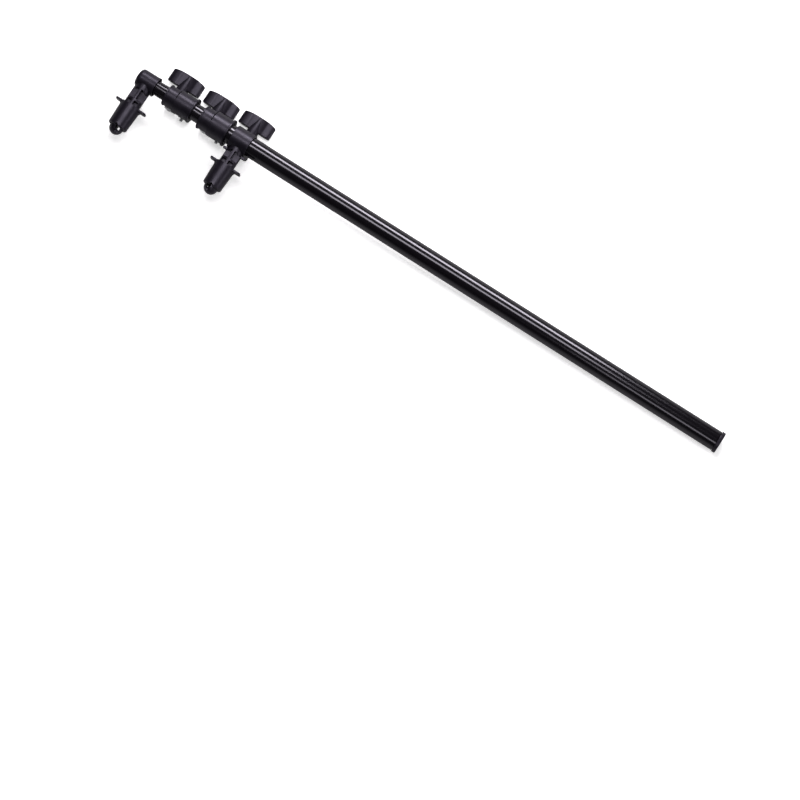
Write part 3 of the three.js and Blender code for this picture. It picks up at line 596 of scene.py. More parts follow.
def carved(base, add=(), cut=(), keep=()):
    """A solid with others joined to it, then cut out of it, then met with it."""
    host = linked("solid", base)
    steps = [("UNION", add), ("DIFFERENCE", cut), ("INTERSECT", keep)]
    tools = []
    for operation, meshes in steps:
        for mesh in meshes:
            tool = linked("cutter", mesh)
            tools.append(tool)
            step = host.modifiers.new(operation, "BOOLEAN")
            step.operation = operation
            step.solver = "MANIFOLD"
            step.object = tool
    mesh = evaluated_mesh(host)
    for tool in tools:
        bpy.data.objects.remove(tool)
    if not mesh.polygons:
        raise RuntimeError("a solid came out empty")
    return mesh


def placed(name, mesh, finish, slot, body, *stood_for):
    """A finished piece: shaded, on its body, and in the place of the CAD nodes it stands for."""
    mesh.name = name
    mesh.materials.clear()
    mesh.materials.append(finish)
    mesh.shade_smooth()
    mesh.set_sharp_from_angle(angle=SHARP_ANGLE)
    draft = linked(name, mesh)
    weighting = draft.modifiers.new("face weighting", "WEIGHTED_NORMAL")
    weighting.keep_sharp = True
    shaded = evaluated_mesh(draft)
    shaded.name = name
    piece = linked(name, shaded)
    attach(piece, body)
    if stood_for:
        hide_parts(*stood_for)
    return piece


def moulded(node, mesh, finish, body):
    """A plastic piece in the place of a CAD node."""
    return placed(f"{node}_moulded", mesh, finish, "body_plastic", body, node)


# Geometry Nodes trees


def node_in(tree, kind, values=None, **settings):
    """A node with its settings. Its inputs are set to values or joined to sockets."""
    made = tree.nodes.new(kind)
    for key, value in settings.items():
        setattr(made, key, value)
    for key, value in (values or {}).items():
        if isinstance(value, bpy.types.NodeSocket):
            tree.links.new(value, made.inputs[key])
        else:
            made.inputs[key].default_value = value
    return made


def worked_out(tree, operation, *values, **settings):
    """The result of a maths node on numbers and sockets."""
    given = dict(enumerate(values))
    result = node_in(tree, "ShaderNodeMath", given, operation=operation, **settings)
    return result.outputs["Value"]


def new_tree(name, kind, inputs, outputs):
    """An empty node group with named inputs and outputs, each given as (name, socket kind)."""
    tree = bpy.data.node_groups.new(name, kind)
    for label, socket in inputs:
        tree.interface.new_socket(name=label, in_out="INPUT", socket_type=socket)
    for label, socket in outputs:
        tree.interface.new_socket(name=label, in_out="OUTPUT", socket_type=socket)
    return tree, tree.nodes.new("NodeGroupInput").outputs, tree.nodes.new("NodeGroupOutput").inputs


def closing_nodes(tree, geometry, finish, output):
    """Realizes the instances, smooths them and gives them their finish."""
    real = node_in(tree, "GeometryNodeRealizeInstances", {"Geometry": geometry})
    smooth = node_in(tree, "GeometryNodeSetShadeSmooth", {"Geometry": real.outputs["Geometry"]})
    shown = node_in(
        tree,
        "GeometryNodeSetMaterial",
        {"Geometry": smooth.outputs["Geometry"], "Material": finish},
    )
    tree.links.new(shown.outputs["Geometry"], output["Geometry"])


def coil_tree():
    """Round wire wound about Z, from 0 up to a height."""
    name = "wound_wire"
    if name in bpy.data.node_groups:
        return bpy.data.node_groups[name]
    tree, given, output = new_tree(
        name,
        "GeometryNodeTree",
        [
            ("Geometry", "NodeSocketGeometry"),
            ("Wire", "NodeSocketFloat"),
            ("Radius", "NodeSocketFloat"),
            ("Curls", "NodeSocketFloat"),
            ("Height", "NodeSocketFloat"),
            ("Finish", "NodeSocketMaterial"),
        ],
        [("Geometry", "NodeSocketGeometry")],
    )
    spiral = node_in(
        tree,
        "GeometryNodeCurveSpiral",
        {
            "Resolution": COIL_STEPS,
            "Rotations": given["Curls"],
            "Start Radius": given["Radius"],
            "End Radius": given["Radius"],
            "Height": given["Height"],
        },
    )
    wire = node_in(
        tree,
        "GeometryNodeCurvePrimitiveCircle",
        {"Resolution": WIRE_SIDES, "Radius": worked_out(tree, "MULTIPLY", given["Wire"], 0.5)},
        mode="RADIUS",
    )
    body = node_in(
        tree,
        "GeometryNodeCurveToMesh",
        {"Curve": spiral.outputs["Curve"], "Profile Curve": wire.outputs["Curve"], "Fill Caps": True},
    )
    closing_nodes(tree, body.outputs["Mesh"], given["Finish"], output)
    return tree


def thread_tree():
    """A sharp thread wound about Z on the blank that the modifier sits on."""
    name = "cut_thread"
    if name in bpy.data.node_groups:
        return bpy.data.node_groups[name]
    tree, given, output = new_tree(
        name,
        "GeometryNodeTree",
        [
            ("Geometry", "NodeSocketGeometry"),
            ("Crest", "NodeSocketFloat"),
            ("Depth", "NodeSocketFloat"),
            ("Curls", "NodeSocketFloat"),
            ("Start", "NodeSocketVector"),
            ("Length", "NodeSocketFloat"),
            ("Finish", "NodeSocketMaterial"),
        ],
        [("Geometry", "NodeSocketGeometry")],
    )
    middle_line = worked_out(tree, "SUBTRACT", given["Crest"], given["Depth"])
    spiral = node_in(
        tree,
        "GeometryNodeCurveSpiral",
        {
            "Resolution": THREAD_STEPS,
            "Rotations": given["Curls"],
            "Start Radius": middle_line,
            "End Radius": middle_line,
            "Height": given["Length"],
        },
    )
    upright = node_in(
        tree, "GeometryNodeSetCurveNormal", {"Curve": spiral.outputs["Curve"]}, mode="Z_UP"
    )
    ridge = node_in(
        tree,
        "GeometryNodeCurvePrimitiveCircle",
        {"Resolution": THREAD_SIDES, "Radius": given["Depth"]},
        mode="RADIUS",
    )
    thread = node_in(
        tree,
        "GeometryNodeCurveToMesh",
        {"Curve": upright.outputs["Curve"], "Profile Curve": ridge.outputs["Curve"], "Fill Caps": True},
    )
    lifted = node_in(
        tree,
        "GeometryNodeTransform",
        {"Geometry": thread.outputs["Mesh"], "Translation": given["Start"]},
    )
    joined = tree.nodes.new("GeometryNodeJoinGeometry")
    tree.links.new(lifted.outputs["Geometry"], joined.inputs["Geometry"])
    tree.links.new(given["Geometry"], joined.inputs["Geometry"])
    closing_nodes(tree, joined.outputs["Geometry"], given["Finish"], output)
    return tree


def grown(mesh, tree, **values):
    """The mesh that a node tree makes from a blank. Values go to the inputs of their names."""
    host = linked("blank", mesh)
    growth = host.modifiers.new("growth", "NODES")
    growth.node_group = tree
    for item in tree.interface.items_tree:
        if item.item_type == "SOCKET" and item.in_out == "INPUT" and item.name in values:
            growth[item.identifier] = values[item.name]
    return evaluated_mesh(host)


def upright_to_y(mesh, x, y, z):
    """A mesh made about Z, laid along +Y from a point."""
    turn = Matrix(((1, 0, 0, 0), (0, 0, 1, 0), (0, -1, 0, 0), (0, 0, 0, 1)))
    mesh.transform(Matrix.Translation((x, y, z)) @ turn)
    return mesh


# Finishes


def noise(tree, place, scale, **values):
    """Noise about 0.5 at a place."""
    given = {"Vector": place, "Scale": scale, **values}
    return node_in(tree, "ShaderNodeTexNoise", given).outputs["Fac"]


def smooth_rise(tree, value, low, high, **values):
    """A smooth change from 0 at a low value to 1 at a high one.

    Values can name other ends for it, "To Min" and "To Max".
    """
    given = {"Value": value, "From Min": low, "From Max": high, **values}
    rise = node_in(tree, "ShaderNodeMapRange", given, interpolation_type="SMOOTHSTEP")
    return rise.outputs["Result"]


def grain_group():
    """Fine moulded or sprayed grain: a height, and a slow wander from 0 to 1."""
    name = "fine_grain"
    if name in bpy.data.node_groups:
        return bpy.data.node_groups[name]
    tree, given, output = new_tree(
        name,
        "ShaderNodeTree",
        [
            ("Place", "NodeSocketVector"),
            ("Grain", "NodeSocketFloat"),
            ("Wander", "NodeSocketFloat"),
        ],
        [("Height", "NodeSocketFloat"), ("Drift", "NodeSocketFloat")],
    )
    fine = noise(tree, given["Place"], given["Grain"], Detail=3.0, Roughness=0.6)
    slow = noise(tree, given["Place"], given["Wander"], Detail=4.0, Roughness=0.55)
    tree.links.new(fine, output["Height"])
    tree.links.new(smooth_rise(tree, slow, *DRIFT_SPAN), output["Drift"])
    return tree


def rubbing_group():
    """Scattered rub marks: a mask, and short scratches as a height."""
    name = "rub_marks"
    if name in bpy.data.node_groups:
        return bpy.data.node_groups[name]
    tree, given, output = new_tree(
        name,
        "ShaderNodeTree",
        [
            ("Place", "NodeSocketVector"),
            ("Patches", "NodeSocketFloat"),
            ("Scratches", "NodeSocketFloat"),
            ("Amount", "NodeSocketFloat"),
        ],
        [("Mask", "NodeSocketFloat"), ("Scratch", "NodeSocketFloat")],
    )
    patches = noise(tree, given["Place"], given["Patches"], Detail=5.0, Roughness=0.7)
    scratches = noise(tree, given["Place"], given["Scratches"], Detail=2.0, Distortion=0.6)
    lines = smooth_rise(tree, scratches, *SCRATCH_SPAN)
    worn = smooth_rise(tree, patches, *WORN_SPAN)
    both = worked_out(tree, "MAXIMUM", worn, lines)
    mask = worked_out(tree, "MULTIPLY", both, given["Amount"], use_clamp=True)
    tree.links.new(mask, output["Mask"])
    tree.links.new(lines, output["Scratch"])
    return tree


def opaque(rgb):
    """A colour with full alpha."""
    return (*rgb, 1.0)


def finish_for(name, fresh, worn, rough, stretch, grain, rub, bump, plain):
    """A material: two colours mixed by rub marks, roughness that wanders, and a fine bump.

    rough is (least, most), stretch the pattern's scale along X, Y and Z, grain is (grain,
    wander), rub is (patches, scratches, amount), bump is (strength, distance), and plain holds
    values for the shader's own sockets.
    """
    if name in bpy.data.materials:
        return bpy.data.materials[name]
    material = bpy.data.materials.new(name)
    material.use_nodes = True
    tree = material.node_tree
    shader = tree.nodes["Principled BSDF"]
    for key, value in plain.items():
        shader.inputs[key].default_value = value
    place = node_in(
        tree,
        "ShaderNodeMapping",
        {"Vector": tree.nodes.new("ShaderNodeTexCoord").outputs["Object"], "Scale": stretch},
    ).outputs["Vector"]
    fine = node_in(
        tree,
        "ShaderNodeGroup",
        {"Place": place, "Grain": grain[0], "Wander": grain[1]},
        node_tree=grain_group(),
    )
    marks = node_in(
        tree,
        "ShaderNodeGroup",
        {"Place": place, "Patches": rub[0], "Scratches": rub[1], "Amount": rub[2]},
        node_tree=rubbing_group(),
    )
    # A Mix node has sockets of each kind: 6, 7 and output 2 are its colours
    tint = node_in(
        tree,
        "ShaderNodeMix",
        {0: marks.outputs["Mask"], 6: opaque(fresh), 7: opaque(worn)},
        data_type="RGBA",
    )
    wander = node_in(
        tree,
        "ShaderNodeMapRange",
        {"Value": fine.outputs["Drift"], "To Min": rough[0], "To Max": rough[1]},
    )
    spread = rough[1] - rough[0]
    rougher = worked_out(
        tree, "MULTIPLY_ADD", marks.outputs["Mask"], spread, wander.outputs["Result"]
    )
    height = worked_out(tree, "SUBTRACT", fine.outputs["Height"], marks.outputs["Scratch"])
    relief = node_in(
        tree, "ShaderNodeBump", {"Height": height, "Strength": bump[0], "Distance": bump[1]}
    )
    tree.links.new(tint.outputs[2], shader.inputs["Base Color"])
    tree.links.new(rougher, shader.inputs["Roughness"])
    tree.links.new(relief.outputs["Normal"], shader.inputs["Normal"])
    return material


def lacquer(colours):
    """Glossy black lacquer with faint lines along the tube."""
    return finish_for(
        "black_lacquer",
        colours.lacquer,
        colours.lacquer_worn,
        rough=(0.14, 0.19),
        stretch=(0.04, 1, 1),
        grain=(500, 40),
        rub=(90, 1400, 0.2),
        bump=(0.008, 0.0001),
        plain={"Specular IOR Level": 0.53, "Specular Tint": (0.93, 0.9, 1.0, 1.0)},
    )


def plastic(colours):
    """Near-black satin moulded plastic with a fine spark-eroded grain."""
    return finish_for(
        "moulded_plastic",
        colours.plastic,
        colours.plastic_worn,
        rough=(0.34, 0.42),
        stretch=(1, 1, 1),
        grain=(2400, 70),
        rub=(160, 420, 0.4),
        bump=(0.12, 0.0001),
        plain={"Specular IOR Level": 0.45, "Specular Tint": (0.87, 0.82, 1.0, 1.0)},
    )


def zinc(colours):
    """Bright zinc plate."""
    return finish_for(
        "zinc_plate",
        colours.zinc,
        colours.zinc_dull,
        rough=(0.3, 0.44),
        stretch=(1, 1, 1),
        grain=(3000, 260),
        rub=(500, 1800, 0.6),
        bump=(0.1, 0.00008),
        plain={"Metallic": 1.0},
    )


def coppered(colours):
    """Coppered spring wire with draw lines."""
    return finish_for(
        "coppered_wire",
        colours.copper,
        colours.copper_dull,
        rough=(0.24, 0.4),
        stretch=(1, 1, 1),
        grain=(3600, 400),
        rub=(700, 2600, 0.7),
        bump=(0.1, 0.00006),
        plain={"Metallic": 1.0},
    )


def refinished(node, finish):
    """A CAD node that keeps its own shape and gets a better material."""
    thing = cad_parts[node]
    for slot in thing.material_slots:
        slot.material = finish


# Tubes and butt cap


class ARM_OT_tubes(bpy.types.Operator):
    """Makes the three lacquered tubes."""

    bl_idname = "arm.tubes"
    bl_label = "Tubes"

    def execute(self, context):
        sizes = context.scene.arm_tubes
        finish = lacquer(context.scene.arm_finishes)
        for node in ("main_tube", "mid_tube", "inner_tube"):
            low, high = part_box(node)
            outer = tube_radius(node)
            inner = outer - sizes.wall
            wall = [(low.x, inner), (low.x, outer), (high.x, outer), (high.x, inner)]
            mesh = turned(eased(wall, sizes.rim, closed=True), "X", ring=True)
            placed(f"{node}_drawn", mesh, finish, "tube_lacquer", node, node)
        return {"FINISHED"}


class ARM_OT_butt_cap(bpy.types.Operator):
    """Makes the butt cap and refinishes the hidden guide bushes."""

    bl_idname = "arm.butt_cap"
    bl_label = "Butt cap"

    def execute(self, context):
        sizes = context.scene.arm_tubes
        finish = plastic(context.scene.arm_finishes)
        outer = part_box("butt_cap")[1].y
        plug = tube_radius("main_tube") - sizes.wall - SEAT_GAP
        land = outer - sizes.cap_land
        end = sizes.cap_thickness + sizes.plug_length
        profile = eased(
            [
                (sizes.cap_dish, 0),
                (sizes.cap_dish, land - sizes.cap_dish),
                (0, land),
                (0, outer, sizes.cap_rounding),
                (sizes.cap_thickness, outer),
                (sizes.cap_thickness, plug),
                (end, plug),
                (end, plug - sizes.plug_wall),
                (sizes.cap_thickness, plug - sizes.plug_wall),
                (sizes.cap_thickness, 0),
            ],
            EDGE,
        )
        moulded("butt_cap", turned(profile, "X"), finish, "main_tube")
        for node in ("mid_tube_bush", "inner_tube_bush"):
            refinished(node, finish)
        return {"FINISHED"}


# Clamp ears, shared by the collars and the sliding clip


def ear_pair(left, right, reach, gap, corner, root):
    """Two ears, above and below the split."""
    return [
        prism(panel(left, right, low, high, corner), "Z", EAR_FRONT, -root, low_rim=EDGE)
        for low, high in ((-reach, -gap / 2), (gap / 2, reach))
    ]


def ear_marks(places, radius, depth):
    """Cutters for the round marks on the ears' faces."""
    return [
        moved(bore("Z", radius, EAR_FRONT, EAR_FRONT + depth, low_open=EDGE / 4), x, y)
        for x, y in places
    ]


def collar_shape(collar, ears, bolts, outer_radius, inside_radius):
    """One collar, its flange at x 0."""
    big = outer_radius + collar.wall
    small = inside_radius + collar.small_wall
    slit_end = collar.big_length + collar.slit
    end = slit_end + collar.small_length
    body = turned(
        eased(
            [
                (0, inside_radius),
                (0, big + collar.flange_step),
                (collar.flange, big + collar.flange_step),
                (collar.flange, big),
                (collar.big_length, big),
                (collar.big_length, small),
                (end - collar.rim, small),
                (end - collar.rim, small + collar.rim_step),
                (end, small + collar.rim_step),
                (end, inside_radius),
            ],
            EDGE,
        ),
        "X",
    )
    big_ear = ears.big_inset + ears.big_width / 2
    small_ear = end - collar.small_length / 2
    reach = ears.reach
    spans = ((ears.big_inset, ears.big_inset + ears.big_width), (slit_end - ears.overhang, end))
    pairs = [
        ear for span in spans for ear in ear_pair(*span, reach, ears.gap, ears.corner, ears.root)
    ]
    big_bore = outer_radius + SEAT_GAP
    small_bore = inside_radius + SEAT_GAP

    def at(x, mesh):
        return moved(mesh, x, 0, BOLT_DEPTH)

    def through(radius):
        return bore("Y", radius, -reach, reach, low_open=EDGE, high_open=EDGE)

    def nut_seat(flats, depth):
        return prism(hexagon(flats + SEAT_GAP * 2), "Y", reach - depth, reach + OVERRUN)

    head_seat = bore(
        "Y", bolts.head + SEAT_GAP, -reach, -reach + bolts.head_height + SEAT_GAP, low_open=EDGE
    )
    ear_middle = (reach + ears.gap / 2) / 2
    cuts = [
        bore("X", big_bore, 0, collar.big_length - collar.inner_lip, EDGE, steps=ROUND_STEPS),
        bore("X", small_bore, OVERRUN, end, high_open=EDGE, steps=ROUND_STEPS),
        slab(
            (-OVERRUN, -ears.gap / 2, EAR_FRONT - OVERRUN),
            (end + OVERRUN, ears.gap / 2, -small_bore / 2),
        ),
        slab(
            (collar.big_length - collar.slit_ease, -big - OVERRUN, -big),
            (slit_end + collar.slit_ease, 0, big + OVERRUN),
        ),
        at(big_ear, through(bolts.small_bolt + SEAT_GAP)),
        at(small_ear, through(bolts.bolt + SEAT_GAP)),
        at(big_ear, head_seat),
        at(big_ear, nut_seat(bolts.small_nut_flats, bolts.small_nut + SEAT_GAP * 2)),
        at(small_ear, nut_seat(bolts.nut_flats, bolts.nut_pocket)),
        *ear_marks(
            [(x, y) for x in (big_ear, small_ear) for y in (-ear_middle, ear_middle)],
            ears.mark,
            ears.mark_depth,
        ),
    ]
    return carved(body, add=pairs, cut=cuts)


class ARM_OT_collars(bpy.types.Operator):
    """Makes the two clamp collars."""

    bl_idname = "arm.collars"
    bl_label = "Collars"

    def execute(self, context):
        scene = context.scene
        finish = plastic(scene.arm_finishes)
        sizes = scene.arm_collars, scene.arm_ears, scene.arm_fasteners
        for node, tubes in COLLAR_TUBES.items():
            mesh = collar_shape(*sizes, *(tube_radius(tube) for tube in tubes))
            moulded(node, moved(mesh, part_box(node)[0].x), finish, node)
        return {"FINISHED"}


# Bolts, nuts and washers


def bolt_point(end, root):
    """The profile of a bolt's far end, drawn in to a point."""
    return [(end - root * POINT_SHARE, root), (end, root * (1 - POINT_SHARE)), (end, 0)]


def threaded(blank, crest, share_of_crest, pitch, start, end, finish):
    """A blank along Z with a thread on it."""
    depth = crest * share_of_crest / 2
    reach = end - start - depth * 2
    return grown(
        blank,
        thread_tree(),
        Crest=crest,
        Depth=depth,
        Curls=reach / pitch,
        Start=(0.0, 0.0, start + depth),
        Length=reach,
        Finish=finish,
    )


def nut_shape(flats, height, hole):
    """A hexagonal nut along Y from 0, its corners turned off at both ends."""
    corner = corner_radius(flats)
    chamfer = (corner - flats / 2) * NUT_CHAMFER_SHARE
    face = flats / 2 * NUT_FACE_SHARE
    wide = corner + EDGE
    profile = [(0, face), (chamfer, wide), (height - chamfer, wide), (height, face)]
    turning = turned(profile, "Y", SMALL_ROUND_STEPS)
    hexagonal = prism(hexagon(flats), "Y", 0, height)
    hole_cut = bore("Y", hole, 0, height, low_open=EDGE, high_open=EDGE)
    return carved(hexagonal, cut=[hole_cut], keep=[turning])


class ARM_OT_fasteners(bpy.types.Operator):
    """Makes the fixed bolts, all the nuts and the washers."""

    bl_idname = "arm.fasteners"
    bl_label = "Bolts, nuts and washers"

    def execute(self, context):
        bolts = context.scene.arm_fasteners
        finish = zinc(context.scene.arm_finishes)
        for collar in COLLAR_TUBES:
            self.fixed_bolt(bolts, finish, f"{collar}_bolt", collar)
            self.nut(finish, f"{collar}_nut", collar, bolts.small_bolt)
        for number, body in KNOB_BODIES.items():
            self.nut(finish, f"knob_{number}_nut", body, bolts.bolt)
            self.washer(bolts, finish, f"knob_{number}_washer", body)
            self.knob_bolt(bolts, finish, f"knob_{number}_bolt", f"knob_{number}")
        return {"FINISHED"}

    def fixed_bolt(self, bolts, finish, node, body):
        """A pan-headed bolt with a cross recess, its head on the knobs' side."""
        low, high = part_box(node)
        crest, head = bolts.small_bolt, bolts.head
        root = crest * (1 - bolts.thread_depth)
        top, end = bolts.head_height, high.y - low.y
        pan = [(0, 0), (0, head, head * HEAD_DOME_SHARE), (top, head), (top, root)]
        profile = eased([*pan, *bolt_point(end, root)], EDGE / 2)
        half = bolts.recess / 2
        arm = head * RECESS_SHARE
        depth = top / 2
        cross = [
            slab((-half, -arm, -OVERRUN), (half, arm, depth)),
            slab((-arm, -half, -OVERRUN), (arm, half, depth)),
        ]
        blank = carved(turned(profile, "Z", SMALL_ROUND_STEPS), cut=cross)
        mesh = threaded(
            blank, crest, bolts.thread_depth, bolts.small_pitch, top + EDGE, end - EDGE, finish
        )
        upright_to_y(mesh, middle(node).x, low.y, BOLT_DEPTH)
        placed(f"{node}_threaded", mesh, finish, "zinc", body, node)

    def knob_bolt(self, bolts, finish, node, body):
        """A knob's bolt, threaded from end to end."""
        low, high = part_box(node)
        crest = bolts.bolt
        root = crest * (1 - bolts.thread_depth)
        end = high.y - low.y
        blank = turned([(0, 0), (0, root), *bolt_point(end, root)], "Z", SMALL_ROUND_STEPS)
        mesh = threaded(
            blank, crest, bolts.thread_depth, bolts.pitch, EDGE, end - EDGE * 2, finish
        )
        upright_to_y(mesh, middle(node).x, low.y, BOLT_DEPTH)
        placed(f"{node}_threaded", mesh, finish, "zinc", body, node)

    def nut(self, finish, node, body, bolt_radius):
        """A nut in the place of a CAD node."""
        low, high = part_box(node)
        mesh = nut_shape(high.x - low.x, high.y - low.y, bolt_radius + SEAT_GAP)
        moved(mesh, middle(node).x, low.y, BOLT_DEPTH)
        placed(f"{node}_chamfered", mesh, finish, "zinc", body, node)

    def washer(self, bolts, finish, node, body):
        """A stamped washer, rounded at its edges."""
        low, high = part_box(node)
        outer = (high.x - low.x) / 2
        inner = bolts.bolt + SEAT_GAP
        section = [(low.y, inner), (low.y, outer), (high.y, outer), (high.y, inner)]
        mesh = turned(eased(section, EDGE / 2, closed=True), "Y", ring=True)
        moved(mesh, middle(node).x, 0, BOLT_DEPTH)
        placed(f"{node}_stamped", mesh, finish, "zinc", body, node)


# Wing knobs


def wing_stations(knob, half):
    """Places along the wings as (x, half thickness, inset), from the middle to one end."""
    waist, bulge, tip = knob.waist / 2, knob.bulge / 2, knob.tip / 2
    stations = []
    steps = CORNER_STEPS * 3
    for k in range(steps + 1):
        t = k / steps
        stations.append((half / 2 * t, waist * (1 - t * t) + bulge * t * t, 0.0))
    reach = half - knob.edge
    for k in range(1, steps + 1):
        t = k / steps
        x = half / 2 * (1 - t) ** 2 + 2 * t * (1 - t) * (half - tip) + reach * t * t
        stations.append((x, bulge * (1 - t * t) + tip * t * t, 0.0))
    for k in range(1, CORNER_STEPS + 1):
        turn = math.pi / 2 * k / CORNER_STEPS
        x = reach + knob.edge * math.sin(turn)
        stations.append((x, tip, knob.edge * (1 - math.cos(turn))))
    return stations


def knob_shape(knob, bolt_radius, half, bottom):
    """A wing knob about the bolt's axis: two crowned wings and a fairing that carries them."""
    wing_bottom = bottom - knob.stem_length
    wing_top = wing_bottom - knob.height
    top_radius = half**2 / knob.crown / 2
    side = wing_stations(knob, half)
    stations = [(-x, w, d) for x, w, d in reversed(side[1:])] + side
    rows = []
    for x, thickness, distance in stations:
        fall = top_radius - math.sqrt(top_radius**2 - x * x)
        corner = max(knob.edge - distance, EDGE / 4)
        top, side_face = wing_top + fall + distance, thickness - distance
        section = panel(top, wing_bottom - distance, -side_face, side_face, corner)
        rows.append([(x, y, z) for y, z in section])
    wings = skin(rows)
    fairing = turned(
        eased(
            [
                (bottom, 0),
                (bottom, knob.stem),
                (wing_bottom, knob.stem, knob.root),
                (wing_top + knob.edge, knob.cone_top),
                (wing_top + knob.edge, 0),
            ],
            EDGE,
        ),
        "Y",
    )
    hole = bore("Y", bolt_radius + SEAT_GAP, bottom - knob.bore, bottom, high_open=EDGE)
    return carved(wings, add=[fairing], cut=[hole])


class ARM_OT_knobs(bpy.types.Operator):
    """Makes the three wing knobs."""

    bl_idname = "arm.knobs"
    bl_label = "Wing knobs"

    def execute(self, context):
        scene = context.scene
        finish = plastic(scene.arm_finishes)
        for number in KNOB_BODIES:
            node = f"knob_{number}"
            low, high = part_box(node)
            half = (high.x - low.x) / 2
            mesh = knob_shape(scene.arm_knobs, scene.arm_fasteners.bolt, half, high.y)
            moved(mesh, middle(node).x, 0, BOLT_DEPTH)
            moulded(node, mesh, finish, node)
        return {"FINISHED"}


# Springs


class ARM_OT_springs(bpy.types.Operator):
    """Winds the clamp springs and the sleeve springs."""

    bl_idname = "arm.springs"
    bl_label = "Springs"

    def execute(self, context):
        sizes = context.scene.arm_springs
        colours = context.scene.arm_finishes
        clamp = (sizes.clamp_wire, sizes.clamp_radius, sizes.clamp_curls)
        for number, body in KNOB_BODIES.items():
            axis = middle(f"knob_{number}_bolt")
            self.wind(f"knob_{number}_spring", body, axis, clamp, coppered(colours), "spring_steel")
        sleeve = (sizes.sleeve_wire, sizes.sleeve_radius, sizes.sleeve_curls)
        for clip, row in CLIPS.items():
            node = f"{clip}_sleeve_spring"
            axis = middle(f"{clip}_sleeve")
            spring = self.wind(node, clip, axis, sleeve, zinc(colours), "zinc")
            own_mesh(spring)
        return {"FINISHED"}

    def wind(self, node, body, axis, coil, finish, slot):
        """A coil between the ends of a CAD node. Its sizes are (wire, radius, curls)."""
        wire, radius, curls = coil
        low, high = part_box(node)
        mesh = grown(
            bpy.data.meshes.new("blank"),
            coil_tree(),
            Wire=wire,
            Radius=radius,
            Curls=curls,
            Height=high.y - low.y - wire,
            Finish=finish,
        )
        upright_to_y(mesh, axis.x, low.y + wire / 2, axis.z)
        return placed(f"{node}_wound", mesh, finish, slot, body, node)


# Clips


def stem_cutters(clip, hook, outward, start):
    """Cutters for the stem's pockets, its shank socket and its pin hole.

    The pockets before the cross rib are open at the sides, and their ends run off at a slant.
    """
    inner = clip.rib / 2
    walled = clip.stem - clip.side_wall
    opened = clip.stem + OVERRUN
    rib_low = clip.cross_rib - clip.cross_rib_thickness / 2
    rib_high = clip.cross_rib + clip.cross_rib_thickness / 2
    outer_start = start + clip.panel_slant
    slanted = [(inner, start), (opened, outer_start), (opened, rib_low), (inner, rib_low)]
    square = panel(inner, walled, rib_high, clip.panel_end, EDGE)
    web = clip.web / 2
    cutters = []
    for face in (-1, 1):
        for side in (-1, 1):
            near = clip.stem - clip.shallow if side == outward else web
            for outline, floor in ((eased(slanted, EDGE, closed=True), near), (square, web)):
                drawn = [(side * x, y) for x, y in outline]
                cutters.append(prism(drawn, "Z", *sorted((face * floor, face * opened))))
    shank = outward * hook.offset
    seat = clip.stem_end - clip.socket
    socket = bore("Y", hook.shank + SEAT_GAP, seat, clip.stem_end, high_open=EDGE)
    pin = bore("Z", clip.pin + SEAT_GAP, -clip.stem, clip.stem, EDGE / 2, EDGE / 2)
    return [*cutters, moved(socket, shank), moved(pin, shank, (seat + clip.stem_end) / 2)]


def stem_shape(clip, hook, outward, start):
    """The cored stem of a clip. Its pockets start just clear of the ring or the cap."""
    root, radius, end = clip.stem_root, clip.stem, clip.stem_end
    bar = turned(eased([(root, 0), (root, radius), (end, radius), (end, 0)], EDGE), "Y")
    return carved(bar, cut=stem_cutters(clip, hook, outward, start))


def tip_clip_shape(clip, hook, inner_radius, half):
    """The closed cap on the inner tube's end, with its stem."""
    radius = inner_radius + SEAT_GAP + clip.cap_wall
    cap = turned(
        eased(
            [
                (-half, 0),
                (-half, radius + clip.cap_rim_step),
                (-half + clip.cap_rim, radius + clip.cap_rim_step),
                (-half + clip.cap_rim, radius),
                (half, radius, clip.cap_rounding),
                (half, 0),
            ],
            EDGE,
            steps=CORNER_STEPS * 2,
        ),
        "X",
    )
    stem = stem_shape(clip, hook, 1, radius + SEAT_GAP)
    hole, tube_end = inner_radius + SEAT_GAP, half - clip.cap_end_wall
    wide, mouth_end = inner_radius + clip.mouth_gap, -half + clip.mouth_depth
    cuts = [
        bore("X", hole, -half - OVERRUN, tube_end, steps=ROUND_STEPS),
        bore("X", wide, -half, mouth_end, low_open=EDGE / 2, steps=ROUND_STEPS),
    ]
    return carved(cap, add=[stem], cut=cuts)


